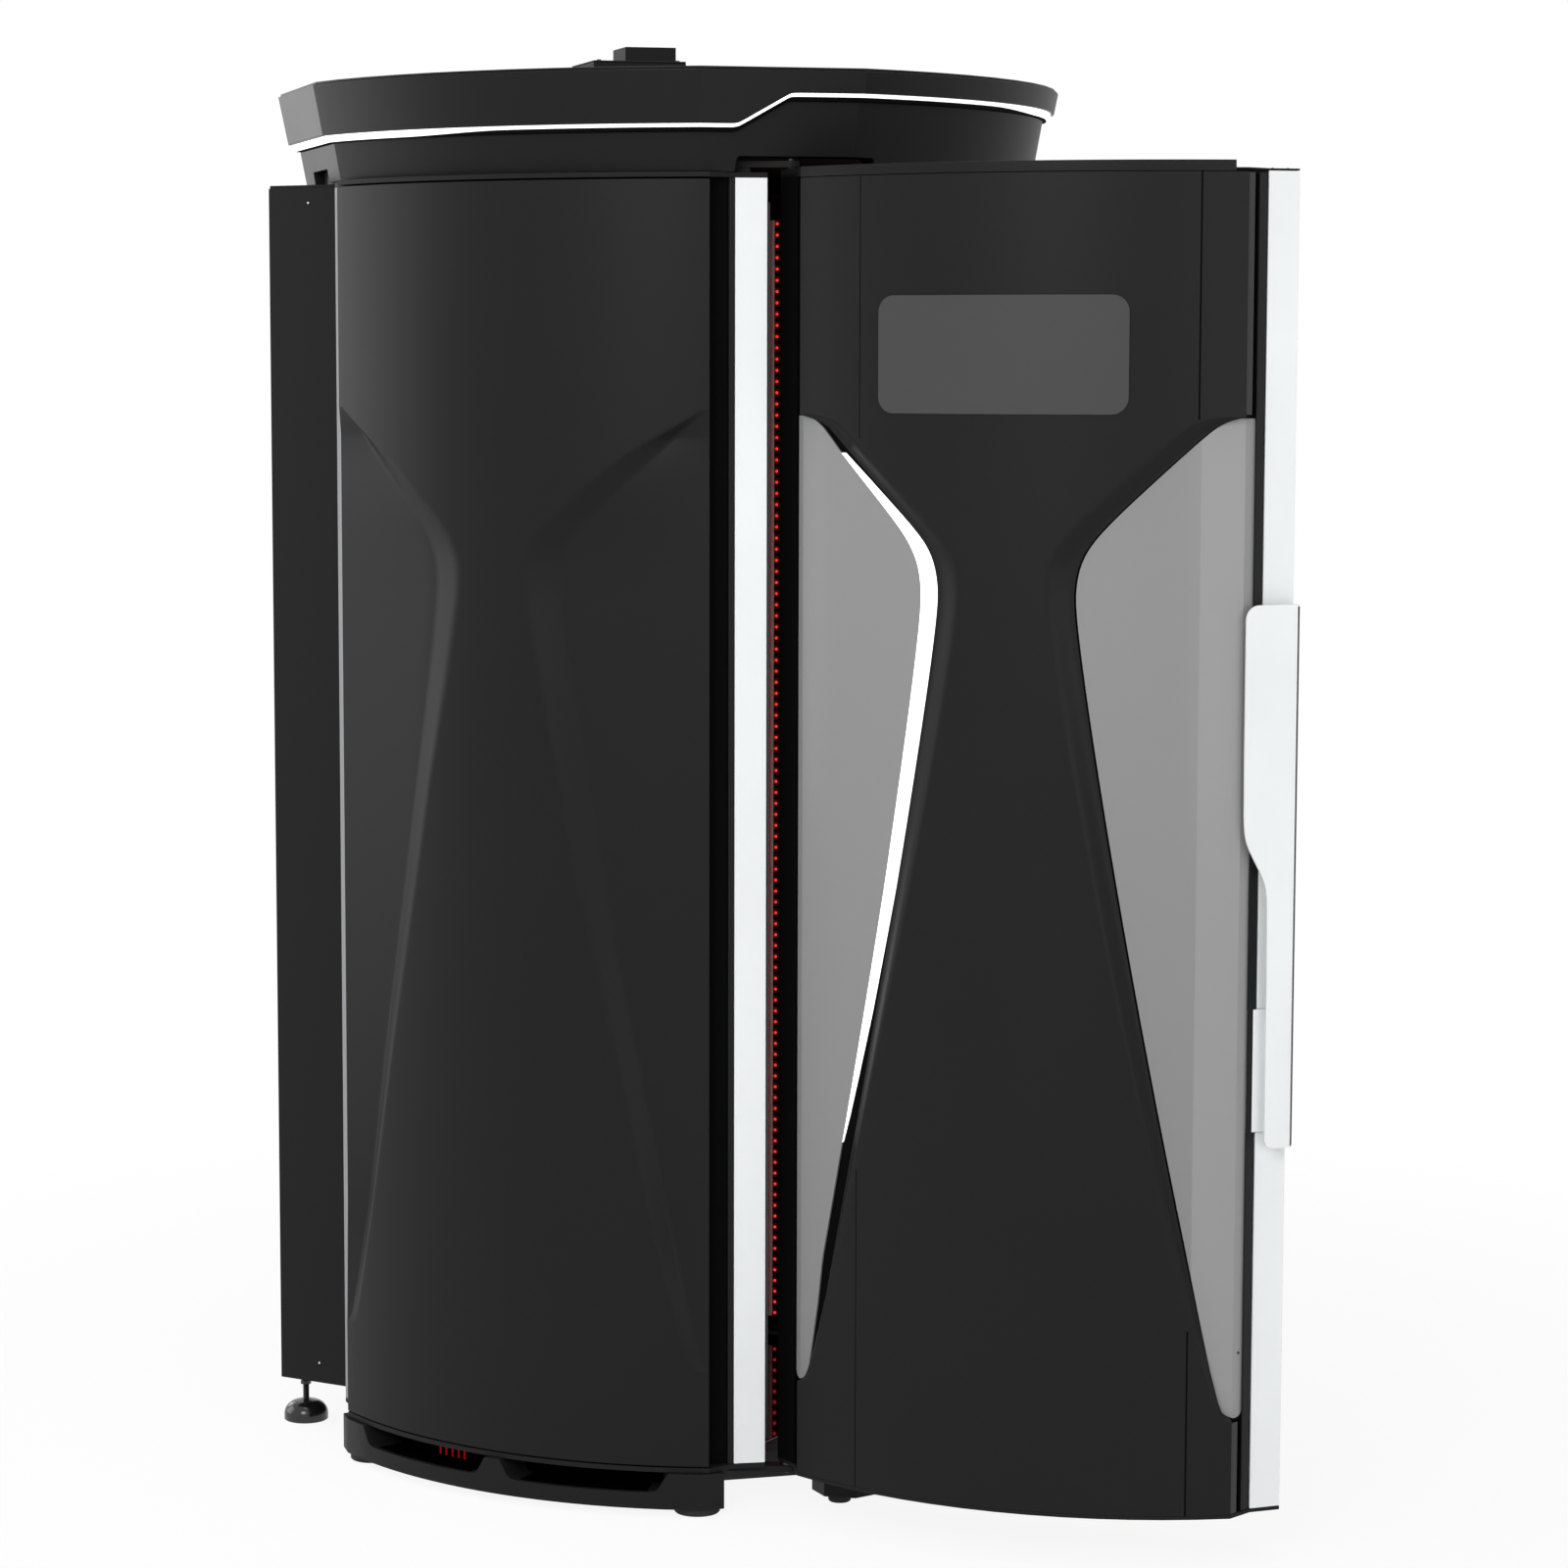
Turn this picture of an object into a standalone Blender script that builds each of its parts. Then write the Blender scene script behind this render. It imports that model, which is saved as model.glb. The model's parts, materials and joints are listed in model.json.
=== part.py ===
"""Stand-up light therapy booth with one hinged door, modelled at real size in metres, +Z up.

The plan is a square standing on its corner. The front corner points to -Y. The left front side is
a fixed curved module, the right front side is the curved door, and the two rear sides are flat
cabinets. The origin is on the floor under the middle of the booth.
Each side is modelled in its own plan frame: u runs along the side, left to right seen from outside,
and n runs outward from the middle of the booth.
"""
import math

import bmesh
import bpy
import numpy as np
from mathutils import Vector

# Clearances
SEAM = 0.0003
PIN_CLEARANCE = 0.0001

# Curved sides
SKIN_HEIGHT = 2.050
SKIN_RADIUS = 0.738
SKIN_CHORD = 0.705
SKIN_WALL = 0.005
CORNER_ROOM = 0.1575
SIDE_DEPTH = 0.1345
FLOOR_TO_SKIN = 0.083
RECESS_DEPTH = 0.016
RECESS_END_SHARE = 0.4
RIM_WIDE = 3.8
RIM_NARROW = 0.9
CHASSIS_WALL = 0.003
ARC_STEPS = 14
SIDE_COLUMNS = 5
FACET_SAG = 0.0008

# Hourglass outline, half angles in degrees and heights above the skin's lower edge
WAIST_ANGLE = 7.84
WAIST_TOP = 1.480
WAIST_TOP_ROUND = 0.043
WAIST_LOW = 1.416
WAIST_LOW_ROUND = 0.020
UPPER_SLOPE = 88.3
LOWER_SLOPE = 12.1
LOWER_BEND = 2.59
TOP_TIP = 1.679
BOTTOM_TIP = 0.1514
TIP_ROUND = 0.008
TOP_TIP_SLOPE = 300.0
BOTTOM_TIP_SLOPE = 200.0
WINDOW_TOP = 1.687
WINDOW_BOTTOM = 0.147

# End strips
STRIP_GAP_U = 0.0203
STRIP_GAP_N = 0.0453
STRIP_WIDTH = 0.0514
STRIP_TILT = 39.8
STRIP_WALL = 0.005
STRIP_OVERLAP = 0.0027
STILE_DEPTH = 0.022

# Plates of the modules
BASE_PLATE = 0.008
TOP_PLATE = 0.008
DOOR_BOTTOM_PLATE = 0.006
DOOR_TOP_PLATE = 0.007
DOOR_HEAD = 0.010

# Hinge
HINGE_ALONG = 0.038
HINGE_DEPTH = 0.010
PIN_RADIUS = 0.0055
PIN_IN_DOOR = 0.028
PIN_PROUD = 0.004
BRACKET_WALL = 0.010
BRACKET_HALF_WIDTH = 0.014
BRACKET_ROOT_INSET = 0.0075
BRACKET_ROOT_DEPTH = 0.073
SPACER_LENGTH = 0.034
BRACKET_LIFT = 0.002
WASHER_RADIUS = 0.011
DOOR_OPEN = 80.0

# Door fittings
PANEL_CENTRE = -0.65
PANEL_HALF_ANGLE = 15.45
PANEL_BOTTOM = 1.689
PANEL_HEIGHT = 0.179
PANEL_CORNER = 0.026
PANEL_WALL = 0.0016
WINDOW_WALL = 0.005
WINDOW_LAP = 0.87
LINE_WIDTH = 2.2
LINE_BOTTOM = 0.56
LINE_TOP = 1.63
LINE_TIP = 0.15
HANDLE_BOTTOM = 0.653
HANDLE_LENGTH = 0.833
HANDLE_RIGHT = 0.0505
HANDLE_WIDE = 0.0908
HANDLE_NARROW = 0.048
HANDLE_STEP_RISE = 0.408
HANDLE_TAPER = 0.066
HANDLE_WALL = 0.004
HANDLE_STANDOFF = 0.022
HANDLE_CORNER = 0.022
HANDLE_FLANGE = 0.014
BRACKET_LEG = 0.028
BRACKET_WING = 0.043
BRACKET_WING_WALL = 0.0037
HANDLE_BRACKET_HEIGHT = 0.190
LOWER_BRACKET_RISE = 0.023
UPPER_BRACKET_DROP = 0.086

# LED panels
LED_WALL = 0.006
LED_BOTTOM_GAP = 0.017
LED_TOP_GAP = 0.033
LED_EDGE = 0.0255
LED_FRONT_EXTRA = 0.032
LED_LAP = 0.012

# Rear cabinets
CABINET_DEPTH = 0.2165
CABINET_LAP = 0.005
CABINET_BOTTOM = 0.079
CABINET_WALL = 0.0025
END_PLATE_WALL = 0.003
END_PLATE_DROP = 0.005
REAR_CHAMFER = 0.122
POST_WIDTH = 0.085
POST_GAP = 0.003
JAMB_GAP = 0.006
DRIVER_WIDTH = 0.250
DRIVER_HEIGHT = 0.400
DRIVER_DEPTH = 0.060
DRIVER_Z = 1.300
INLET_WIDTH = 0.060
INLET_HEIGHT = 0.050
INLET_DEPTH = 0.020
INLET_Z = 0.160

# Base
DECK_WALL = 0.045
DECK_LAP = 0.0645
DECK_FRONT_HALF = 0.122
DECK_CORNER_HALF = 0.062
MAT_EDGE = 0.0305
MAT_WALL = 0.004
PAD_RADIUS = 0.060
PLINTH_PROUD = 0.008
PLINTH_END_CUT = 1.03
PLINTH_END_WIDTH = 0.040
PLINTH_BACK_INSET = 0.0275
PLINTH_NECK = 0.0465
PLINTH_BOTTOM = 0.013
SLOT_DEPTH = 0.060
SLOT_BOTTOM = 0.040
SLOT_END_RIB = 4.1
SLOT_RIB_ANGLE = 1.75
FOOT_RADIUS = 0.037
FOOT_INSET = 0.0355
FOOT_TURN = 1.62
LEVEL_PAD_RADIUS = 0.0385
LEVEL_PAD_HEIGHT = 0.037
LEVEL_PAD_LIP = 0.010
LEVEL_STUD_RADIUS = 0.0055
LEVEL_INSET_N = 0.027
LEVEL_INSET_U = 0.036

# Canopy
CANOPY_CORNER_CUT = 0.07625
CANOPY_FRONT_HALF = 0.1335
CANOPY_SIDE_HALF = 0.0915
CANOPY_REAR_LAP = 0.0515
CANOPY_SAGITTA = 0.093
CANOPY_STEPS = 10
SKIRT_HEIGHT = 0.0607
SKIRT_INSET = 0.046
SKIRT_FLARE = 0.18
SKIRT_INNER = 0.075
RING_HEIGHT = 0.0115
RING_INSET = 0.006
CAP_HEIGHT = 0.083
CAP_FLARE = 0.19
CAP_INNER = 0.060
LINE_RISE = 0.048
RISE_START = -0.070
RISE_END = 0.014
NOTCH_START = -0.066
NOTCH_HEIGHT = 0.024
NOTCH_BLEND = 0.002
JAMB_STEP = 0.010
DOOR_HEAD_CLEARANCE = 0.007
CEILING_WALL = 0.004
CEILING_LIFT = 0.028
ROOF_WALL = 0.004
ROOF_INSET = 0.004

# Exhaust fan on the roof
FAN_X = -0.084
FAN_Y = 0.022
DUCT_SHIFT_X = 0.026
DUCT_SHIFT_Y = -0.007
FAN_HOUSING = 0.160
FAN_HOUSING_HEIGHT = 0.042
FAN_BORE = 0.066
FAN_TIP_GAP = 0.006
FAN_HUB = 0.018
FAN_BLADES = 5
FAN_BLADE_SPAN = 46.0
FAN_WALL = 0.010
SPIDER_WIDTH = 0.014
SPIDER_WALL = 0.005
DUCT_WIDTH = 0.088
DUCT_WALL = 0.003
DUCT_HEIGHT = 0.028

# Sizes that follow from the ones above
SIDE_DISTANCE = SKIN_CHORD / 2 + CORNER_ROOM
INNER_DISTANCE = SIDE_DISTANCE - SIDE_DEPTH
HALF_ANGLE = math.degrees(math.asin(SKIN_CHORD / 2 / SKIN_RADIUS))
ARC_CENTRE = SIDE_DISTANCE - SKIN_RADIUS * math.cos(math.radians(HALF_ANGLE))
TILT = math.radians(STRIP_TILT)
STRIP_U = SKIN_CHORD / 2 + STRIP_GAP_U
STRIP_N = SIDE_DISTANCE - STRIP_GAP_N
MITRE = (STRIP_N - STRIP_WIDTH * math.sin(TILT)) - (STRIP_U + STRIP_WIDTH * math.cos(TILT))
SKIN_BOTTOM = FLOOR_TO_SKIN
SKIN_TOP = SKIN_BOTTOM + SKIN_HEIGHT
STRIP_BOTTOM = SKIN_BOTTOM - STRIP_OVERLAP
STRIP_TOP = SKIN_TOP + STRIP_OVERLAP
BASE_TOP = STRIP_BOTTOM - SEAM
BASE_BOTTOM = BASE_TOP - BASE_PLATE
DECK_TOP = BASE_BOTTOM - SEAM
DECK_BOTTOM = DECK_TOP - DECK_WALL
HEAD_BOTTOM = STRIP_TOP + SEAM
HEAD_TOP = HEAD_BOTTOM + TOP_PLATE
SKIRT_BOTTOM = HEAD_TOP + SEAM
DOOR_TOP = SKIN_TOP + DOOR_HEAD
DOOR_CAP_BOTTOM = DOOR_TOP + SEAM
DOOR_CAP_TOP = DOOR_CAP_BOTTOM + DOOR_TOP_PLATE
DOOR_BASE_TOP = SKIN_BOTTOM - SEAM
DOOR_BASE_BOTTOM = DOOR_BASE_TOP - DOOR_BOTTOM_PLATE
SKIRT_OVER_DOOR = DOOR_CAP_TOP + DOOR_HEAD_CLEARANCE
RING_BOTTOM = SKIRT_BOTTOM + SKIRT_HEIGHT
CAP_BOTTOM = RING_BOTTOM + SEAM + RING_HEIGHT
CAP_TOP = CAP_BOTTOM + CAP_HEIGHT
ROOF_BOTTOM = CAP_TOP + SEAM
ROOF_TOP = ROOF_BOTTOM + ROOF_WALL
CORE_RADIUS = SKIN_RADIUS - RECESS_DEPTH - SKIN_WALL - SEAM - FACET_SAG
LED_BACK = INNER_DISTANCE - SEAM
LED_BOTTOM = SKIN_BOTTOM + LED_BOTTOM_GAP
LED_TOP = SKIN_TOP - LED_TOP_GAP
LED_HALF_WIDTH = INNER_DISTANCE - LED_EDGE
CABINET_OUTER = INNER_DISTANCE + CABINET_DEPTH
CABINET_FRONT = INNER_DISTANCE - CABINET_LAP
END_PLATE_TOP = HEAD_TOP - END_PLATE_DROP
POST_FACE = (2 * CABINET_OUTER - REAR_CHAMFER) * math.sqrt(0.5)
DECK_HALF = INNER_DISTANCE + DECK_LAP
PLINTH_END_ANGLE = HALF_ANGLE - PLINTH_END_CUT
SLOT_OUTER_ANGLE = PLINTH_END_ANGLE - SLOT_END_RIB
WINDOW_END = HALF_ANGLE + WINDOW_LAP
HANDLE_TOP = HANDLE_BOTTOM + HANDLE_LENGTH
HANDLE_STEP = HANDLE_BOTTOM + HANDLE_STEP_RISE
LOWER_BRACKET_Z = HANDLE_BOTTOM + LOWER_BRACKET_RISE
UPPER_BRACKET_Z = HANDLE_TOP - UPPER_BRACKET_DROP - HANDLE_BRACKET_HEIGHT
BRACKET_EDGE = HANDLE_RIGHT - HANDLE_WALL - SEAM
CANOPY_FACET = SIDE_DISTANCE * math.sqrt(2.0) - CANOPY_CORNER_CUT
CANOPY_REAR = (CABINET_OUTER + CANOPY_REAR_LAP) * math.sqrt(2.0)


def clear_scene():
    """Remove every object that the scene starts with."""
    for item in list(bpy.data.objects):
        bpy.data.objects.remove(item, do_unlink=True)


def material(name, colour, roughness, metallic=0.0):
    """One Principled material."""
    made = bpy.data.materials.new(name)
    made.use_nodes = True
    shader = made.node_tree.nodes["Principled BSDF"]
    shader.inputs["Base Color"].default_value = (colour[0], colour[1], colour[2], 1.0)
    shader.inputs["Roughness"].default_value = roughness
    shader.inputs["Metallic"].default_value = metallic
    return made


def frame(name, angle, place=(0.0, 0.0, 0.0)):
    """An empty that carries the pieces of one side, turned about +Z."""
    empty = bpy.data.objects.new(name, None)
    empty.location = place
    empty.rotation_euler = (0.0, 0.0, math.radians(angle))
    bpy.context.scene.collection.objects.link(empty)
    return empty


def add(name, mesh, finish, parent=None, place=(0.0, 0.0, 0.0)):
    """Put a finished mesh into the scene as one object."""
    item = bpy.data.objects.new(name, mesh)
    item.location = place
    bpy.context.scene.collection.objects.link(item)
    if parent is not None:
        item.parent = parent
    if finish is not None:
        mesh.materials.append(finish)
    return item


def to_mesh(name, points, faces):
    """A closed mesh with its faces pointing out."""
    mesh = bpy.data.meshes.new(name)
    work = bmesh.new()
    corners = [work.verts.new(point) for point in points]
    for face in faces:
        work.faces.new([corners[index] for index in face])
    bmesh.ops.recalc_face_normals(work, faces=work.faces)
    work.to_mesh(mesh)
    work.free()
    return mesh


def sweep(name, first, second):
    """A solid between two outlines with the same number of points."""
    count = len(first)
    faces = [tuple(range(count)), tuple(range(count, 2 * count))]
    for index in range(count):
        after = (index + 1) % count
        faces.append((index, after, count + after, count + index))
    return to_mesh(name, list(first) + list(second), faces)


def prism(name, outline, low, high):
    """An upright solid over a plan outline given in (u, n)."""
    first = [(u, -n, low) for u, n in outline]
    second = [(u, -n, high) for u, n in outline]
    return sweep(name, first, second)


def block(name, u0, u1, n0, n1, low, high):
    """An upright box in plan coordinates."""
    return prism(name, [(u0, n0), (u1, n0), (u1, n1), (u0, n1)], low, high)


def ring(name, low_out, low_in, high_out, high_in):
    """A closed band between an outer and an inner loop."""
    count = len(low_out)
    points = list(low_out) + list(low_in) + list(high_out) + list(high_in)
    faces = []
    for index in range(count):
        after = (index + 1) % count
        a, b = index, after
        faces.append((a, b, 2 * count + b, 2 * count + a))
        faces.append((count + b, count + a, 3 * count + a, 3 * count + b))
        faces.append((b, a, count + a, count + b))
        faces.append((2 * count + a, 2 * count + b, 3 * count + b, 3 * count + a))
    return to_mesh(name, points, faces)


def shell(name, outer, inner):
    """A closed curved sheet between two grids of points."""
    rows, columns = outer.shape[:2]
    points = [tuple(p) for p in outer.reshape(-1, 3)] + [tuple(p) for p in inner.reshape(-1, 3)]
    half = rows * columns
    faces = []
    for row in range(rows - 1):
        for column in range(columns - 1):
            a = row * columns + column
            b = a + columns
            faces.append((a, a + 1, b + 1, b))
            faces.append((half + a + 1, half + a, half + b, half + b + 1))
    edge = [column for column in range(columns)]
    edge += [row * columns + columns - 1 for row in range(1, rows)]
    edge += [(rows - 1) * columns + column for column in range(columns - 2, -1, -1)]
    edge += [row * columns for row in range(rows - 2, 0, -1)]
    for index, here in enumerate(edge):
        after = edge[(index + 1) % len(edge)]
        faces.append((here, after, half + after, half + here))
    return to_mesh(name, points, faces)


def round_bar(name, centre, radius, low, high, sides=32):
    """An upright round bar at a point given in (u, n)."""
    outline = []
    for step in range(sides):
        turn = 2 * math.pi * step / sides
        outline.append((centre[0] + radius * math.cos(turn), centre[1] + radius * math.sin(turn)))
    return prism(name, outline, low, high)


def turned(name, centre, profile, sides=24):
    """A solid turned about an upright axis, from a profile of (radius, height) from the axis to the axis."""
    mesh = bpy.data.meshes.new(name)
    work = bmesh.new()
    chain = [work.verts.new((centre[0] + radius, -centre[1], height)) for radius, height in profile]
    edges = [work.edges.new((chain[i], chain[i + 1])) for i in range(len(chain) - 1)]
    bmesh.ops.spin(work, geom=chain + edges, cent=(centre[0], -centre[1], 0.0), axis=(0.0, 0.0, 1.0),
                   angle=2 * math.pi, steps=sides, use_merge=True)
    bmesh.ops.remove_doubles(work, verts=work.verts, dist=0.00001)
    bmesh.ops.recalc_face_normals(work, faces=work.faces)
    work.to_mesh(mesh)
    work.free()
    return mesh


def combine(item, tool_mesh, operation):
    """Cut a tool out of an object, or join it on, and keep the result as the object's mesh."""
    tool = add(item.name + "_tool", tool_mesh, None, item.parent, tuple(item.location))
    change = item.modifiers.new("change", "BOOLEAN")
    change.operation = operation
    change.solver = "EXACT"
    change.object = tool
    bpy.context.view_layer.update()
    view = item.evaluated_get(bpy.context.evaluated_depsgraph_get())
    result = bpy.data.meshes.new_from_object(view)
    item.modifiers.remove(change)
    bpy.data.objects.remove(tool, do_unlink=True)
    item.data = result
    item.data.name = item.name


def cut(item, tool_mesh):
    """Cut a tool out of an object."""
    combine(item, tool_mesh, "DIFFERENCE")


def inset(outline, wall, reach):
    """The same outline a wall further in, with its closing edge moved out by reach instead."""
    count = len(outline)
    area = 0.0
    for i in range(count):
        x0, y0 = outline[i]
        x1, y1 = outline[(i + 1) % count]
        area += x0 * y1 - x1 * y0
    sign = 1.0 if area > 0 else -1.0
    lines = []
    for i in range(count):
        start = Vector(outline[i])
        way = (Vector(outline[(i + 1) % count]) - start).normalized()
        inward = Vector((-way.y, way.x)) * sign
        move = -reach if i == count - 1 else wall
        lines.append((start + inward * move, way))
    result = []
    for i in range(count):
        p, d = lines[i - 1]
        q, e = lines[i]
        cross = d.x * e.y - d.y * e.x
        t = ((q.x - p.x) * e.y - (q.y - p.y) * e.x) / cross
        result.append(tuple(p + d * t))
    return result


def arc_point(radius, angle):
    """A point on a side's arc, by radius and angle from its middle in degrees."""
    turn = math.radians(angle)
    return (radius * math.sin(turn), ARC_CENTRE + radius * math.cos(turn))


def strip_point(side, along, depth):
    """A point on an end strip, along it from its inner edge and behind its face."""
    u = STRIP_U + along * math.cos(TILT) - depth * math.sin(TILT)
    n = STRIP_N - along * math.sin(TILT) - depth * math.cos(TILT)
    return (side * u, n)


def module_outline(radius, half_angle, left_depth, right_depth):
    """Plan of a curved side: mitred ends, strip seats and the front arc, closed by the flat inner face."""
    corner = INNER_DISTANCE - MITRE
    outline = [(-corner, INNER_DISTANCE)]
    outline.append(strip_point(-1, STRIP_WIDTH, left_depth))
    outline.append(strip_point(-1, 0.0, left_depth))
    for step in range(ARC_STEPS + 1):
        outline.append(arc_point(radius, half_angle * (2 * step / ARC_STEPS - 1)))
    outline.append(strip_point(1, 0.0, right_depth))
    outline.append(strip_point(1, STRIP_WIDTH, right_depth))
    outline.append((corner, INNER_DISTANCE))
    return outline


def tub(name, outline, low, high, wall, finish, parent, place=(0.0, 0.0, 0.0)):
    """A thin-walled case over an outline, open on its inner face inside a rim that carries the LED panel."""
    item = add(name, prism(name, outline, low, high), finish, parent, place)
    cut(item, prism(name + "_hollow", inset(outline, wall, -wall), low + wall, high - wall))
    half = LED_HALF_WIDTH - LED_LAP
    mouth = block(name + "_mouth", -half, half, INNER_DISTANCE - wall, INNER_DISTANCE + 2 * wall,
                  LED_BOTTOM + LED_LAP, LED_TOP - LED_LAP)
    cut(item, mouth)
    return item


def ramp(value, size):
    """Zero below nought and straight above it, with a rounded bend."""
    return 0.5 * (value + math.sqrt(value * value + size * size))


def hourglass(height):
    """Half angle of the hourglass at a height above the skin's lower edge, in degrees."""
    low = ramp(WAIST_LOW - height, WAIST_LOW_ROUND)
    angle = WAIST_ANGLE + UPPER_SLOPE * ramp(height - WAIST_TOP, WAIST_TOP_ROUND)
    angle += LOWER_SLOPE * low + LOWER_BEND * low * low
    angle += TOP_TIP_SLOPE * ramp(height - TOP_TIP, TIP_ROUND)
    angle += BOTTOM_TIP_SLOPE * ramp(BOTTOM_TIP - height, TIP_ROUND)
    return min(angle, HALF_ANGLE)


def rim(height):
    """Width of the sloped rim beside the hourglass, in degrees."""
    share = (height - WINDOW_BOTTOM) / (WAIST_TOP - WINDOW_BOTTOM)
    return RIM_NARROW + (RIM_WIDE - RIM_NARROW) * max(0.0, min(1.0, share))


def recess(height):
    """Share of the full recess depth at a height: it dies out where the hourglass reaches the ends."""
    room = max(0.0, HALF_ANGLE - hourglass(height))
    return min(1.0, room / RIM_WIDE)


def window_rows():
    """Heights where the hourglass outline needs a row of points."""
    lower = np.linspace(WINDOW_BOTTOM + 0.022, WAIST_LOW - 0.03, 9)
    waist = np.linspace(WAIST_LOW, WAIST_TOP + 0.035, 5)
    upper = np.linspace(WAIST_TOP + 0.07, TOP_TIP - 0.012, 5)
    rows = [WINDOW_BOTTOM, WINDOW_BOTTOM + 0.007] + list(lower) + list(waist) + list(upper)
    return rows + [WINDOW_TOP - 0.004, WINDOW_TOP]


def curved(angle, depth, height):
    """A point at an angle, a depth behind the arc and a height above the skin's lower edge."""
    u, n = arc_point(SKIN_RADIUS - depth, angle)
    return (u, -n, SKIN_BOTTOM + height)


def grid(rows):
    """Rows of (angle, depth, height) as a grid of points."""
    return np.array([[curved(*point) for point in row] for row in rows])


def left_skin_mesh():
    """The curved sheet with the hourglass standing out of two shallow recesses."""
    outer = []
    inner = []
    for height in [0.0] + window_rows() + [SKIN_HEIGHT]:
        edge = min(hourglass(height), HALF_ANGLE - 0.8)
        crest = edge - rim(height)
        deep = RECESS_DEPTH * recess(height)
        side = []
        for share in np.linspace(0.0, 1.0, SIDE_COLUMNS + 1):
            depth = deep * (RECESS_END_SHARE + (1.0 - RECESS_END_SHARE) * share)
            side.append((HALF_ANGLE + (edge - HALF_ANGLE) * share, depth))
        side += [(crest * share, 0.0) for share in np.linspace(1.0, 0.0, SIDE_COLUMNS + 1)[:-1]]
        row = [(-angle, depth) for angle, depth in side] + [(0.0, 0.0)] + side[::-1]
        outer.append([(angle, depth, height) for angle, depth in row])
        back = [(angle, depth + SKIN_WALL, height) for angle, depth in row]
        back[0] = (-HALF_ANGLE, RECESS_DEPTH + SKIN_WALL, height)
        back[-1] = (HALF_ANGLE, RECESS_DEPTH + SKIN_WALL, height)
        inner.append(back)
    return shell("left_skin", grid(outer), grid(inner))


def door_skin_mesh():
    """The hourglass sheet of the door, with sloped rims that reach back to the windows."""
    outer = []
    inner = []
    for height in [0.0] + window_rows() + [SKIN_HEIGHT]:
        edge = hourglass(height)
        crest = edge - rim(height)
        deep = RECESS_DEPTH * recess(height)
        side = [(edge, deep)]
        side += [(crest * share, 0.0) for share in np.linspace(1.0, 0.0, SIDE_COLUMNS + 1)[:-1]]
        row = [(-angle, depth) for angle, depth in side] + [(0.0, 0.0)] + side[::-1]
        outer.append([(angle, depth, height) for angle, depth in row])
        back = [(angle, depth + SKIN_WALL, height) for angle, depth in row]
        back[0] = (-edge, RECESS_DEPTH + SKIN_WALL, height)
        back[-1] = (edge, RECESS_DEPTH + SKIN_WALL, height)
        inner.append(back)
    return shell("door_skin", grid(outer), grid(inner))


def line_width(height):
    """Width of the light line in degrees: full at the waist, drawn to a point at both ends."""
    up = (LINE_TOP - height) / (LINE_TOP - WAIST_TOP)
    down = (height - LINE_BOTTOM) / (WAIST_LOW - LINE_BOTTOM)
    return LINE_WIDTH * max(0.0, min(1.0, up, math.sqrt(max(down, 0.0))))


def seam_angle():
    """The clearance between neighbouring curved pieces, in degrees."""
    return math.degrees(SEAM / (SKIN_RADIUS - RECESS_DEPTH - WINDOW_WALL))


def window_mesh(name, side, lined):
    """A curved window beside the hourglass, with room for the light line where there is one."""
    outer = []
    inner = []
    gap = 2 * seam_angle()
    for height in window_rows()[1:-1]:
        near = hourglass(height) + gap
        if lined and line_width(height) > 0.0:
            near += line_width(height) + gap
        near = min(near, WINDOW_END - 0.5)
        angles = np.linspace(near, WINDOW_END, SIDE_COLUMNS + 1)
        outer.append([(side * angle, RECESS_DEPTH, height) for angle in angles])
        inner.append([(side * angle, RECESS_DEPTH + WINDOW_WALL, height) for angle in angles])
    return shell(name, grid(outer), grid(inner))


def light_line_mesh():
    """The light line that follows the hourglass beside the left window."""
    outer = []
    inner = []
    gap = 2 * seam_angle()
    inside = [height for height in window_rows() if line_width(height) > LINE_TIP]
    for height in inside:
        angles = [-hourglass(height) - gap - line_width(height), -hourglass(height) - gap]
        outer.append([(angle, RECESS_DEPTH, height) for angle in angles])
        inner.append([(angle, RECESS_DEPTH + WINDOW_WALL, height) for angle in angles])
    return shell("door_light_line", grid(outer), grid(inner))


def bare_panel_mesh():
    """The rounded panel that lies on the upper part of the door."""
    corner = math.degrees(PANEL_CORNER / SKIN_RADIUS)
    outer = []
    inner = []
    steps = 4
    ends = []
    for step in range(steps + 1):
        turn = math.radians(90.0 * step / steps)
        drop = PANEL_CORNER * (1 - math.sin(turn))
        ends.append((drop, PANEL_HALF_ANGLE - corner * (1 - math.cos(turn))))
    ends = ends[::-1]
    rows = [(PANEL_BOTTOM + drop, half) for drop, half in ends]
    rows += [(PANEL_BOTTOM + PANEL_HEIGHT - drop, half) for drop, half in ends[::-1]]
    for height, half in rows:
        angles = PANEL_CENTRE + np.linspace(-half, half, 9)
        outer.append([(angle, -FACET_SAG - PANEL_WALL, height) for angle in angles])
        inner.append([(angle, -FACET_SAG, height) for angle in angles])
    return shell("door_panel", grid(outer), grid(inner))


def handle_outline():
    """The handle's face in (distance along the strip, height): wide above, tapered, narrow below."""
    right = HANDLE_RIGHT
    wide = right - HANDLE_WIDE
    narrow = right - HANDLE_NARROW
    top = HANDLE_TOP
    outline = [(right, HANDLE_BOTTOM), (right, top)]
    for step in range(5):
        turn = math.radians(90.0 + 22.5 * step)
        across = wide + HANDLE_CORNER * (1 + math.cos(turn))
        outline.append((across, top - HANDLE_CORNER * (1 - math.sin(turn))))
    outline += [(wide, HANDLE_STEP + HANDLE_TAPER), (narrow, HANDLE_STEP), (narrow, HANDLE_BOTTOM)]
    return outline


def on_strip(along, height, off):
    """A point in front of the free-end strip."""
    u, n = strip_point(1, along, -off)
    return (u, -n, height)


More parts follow.
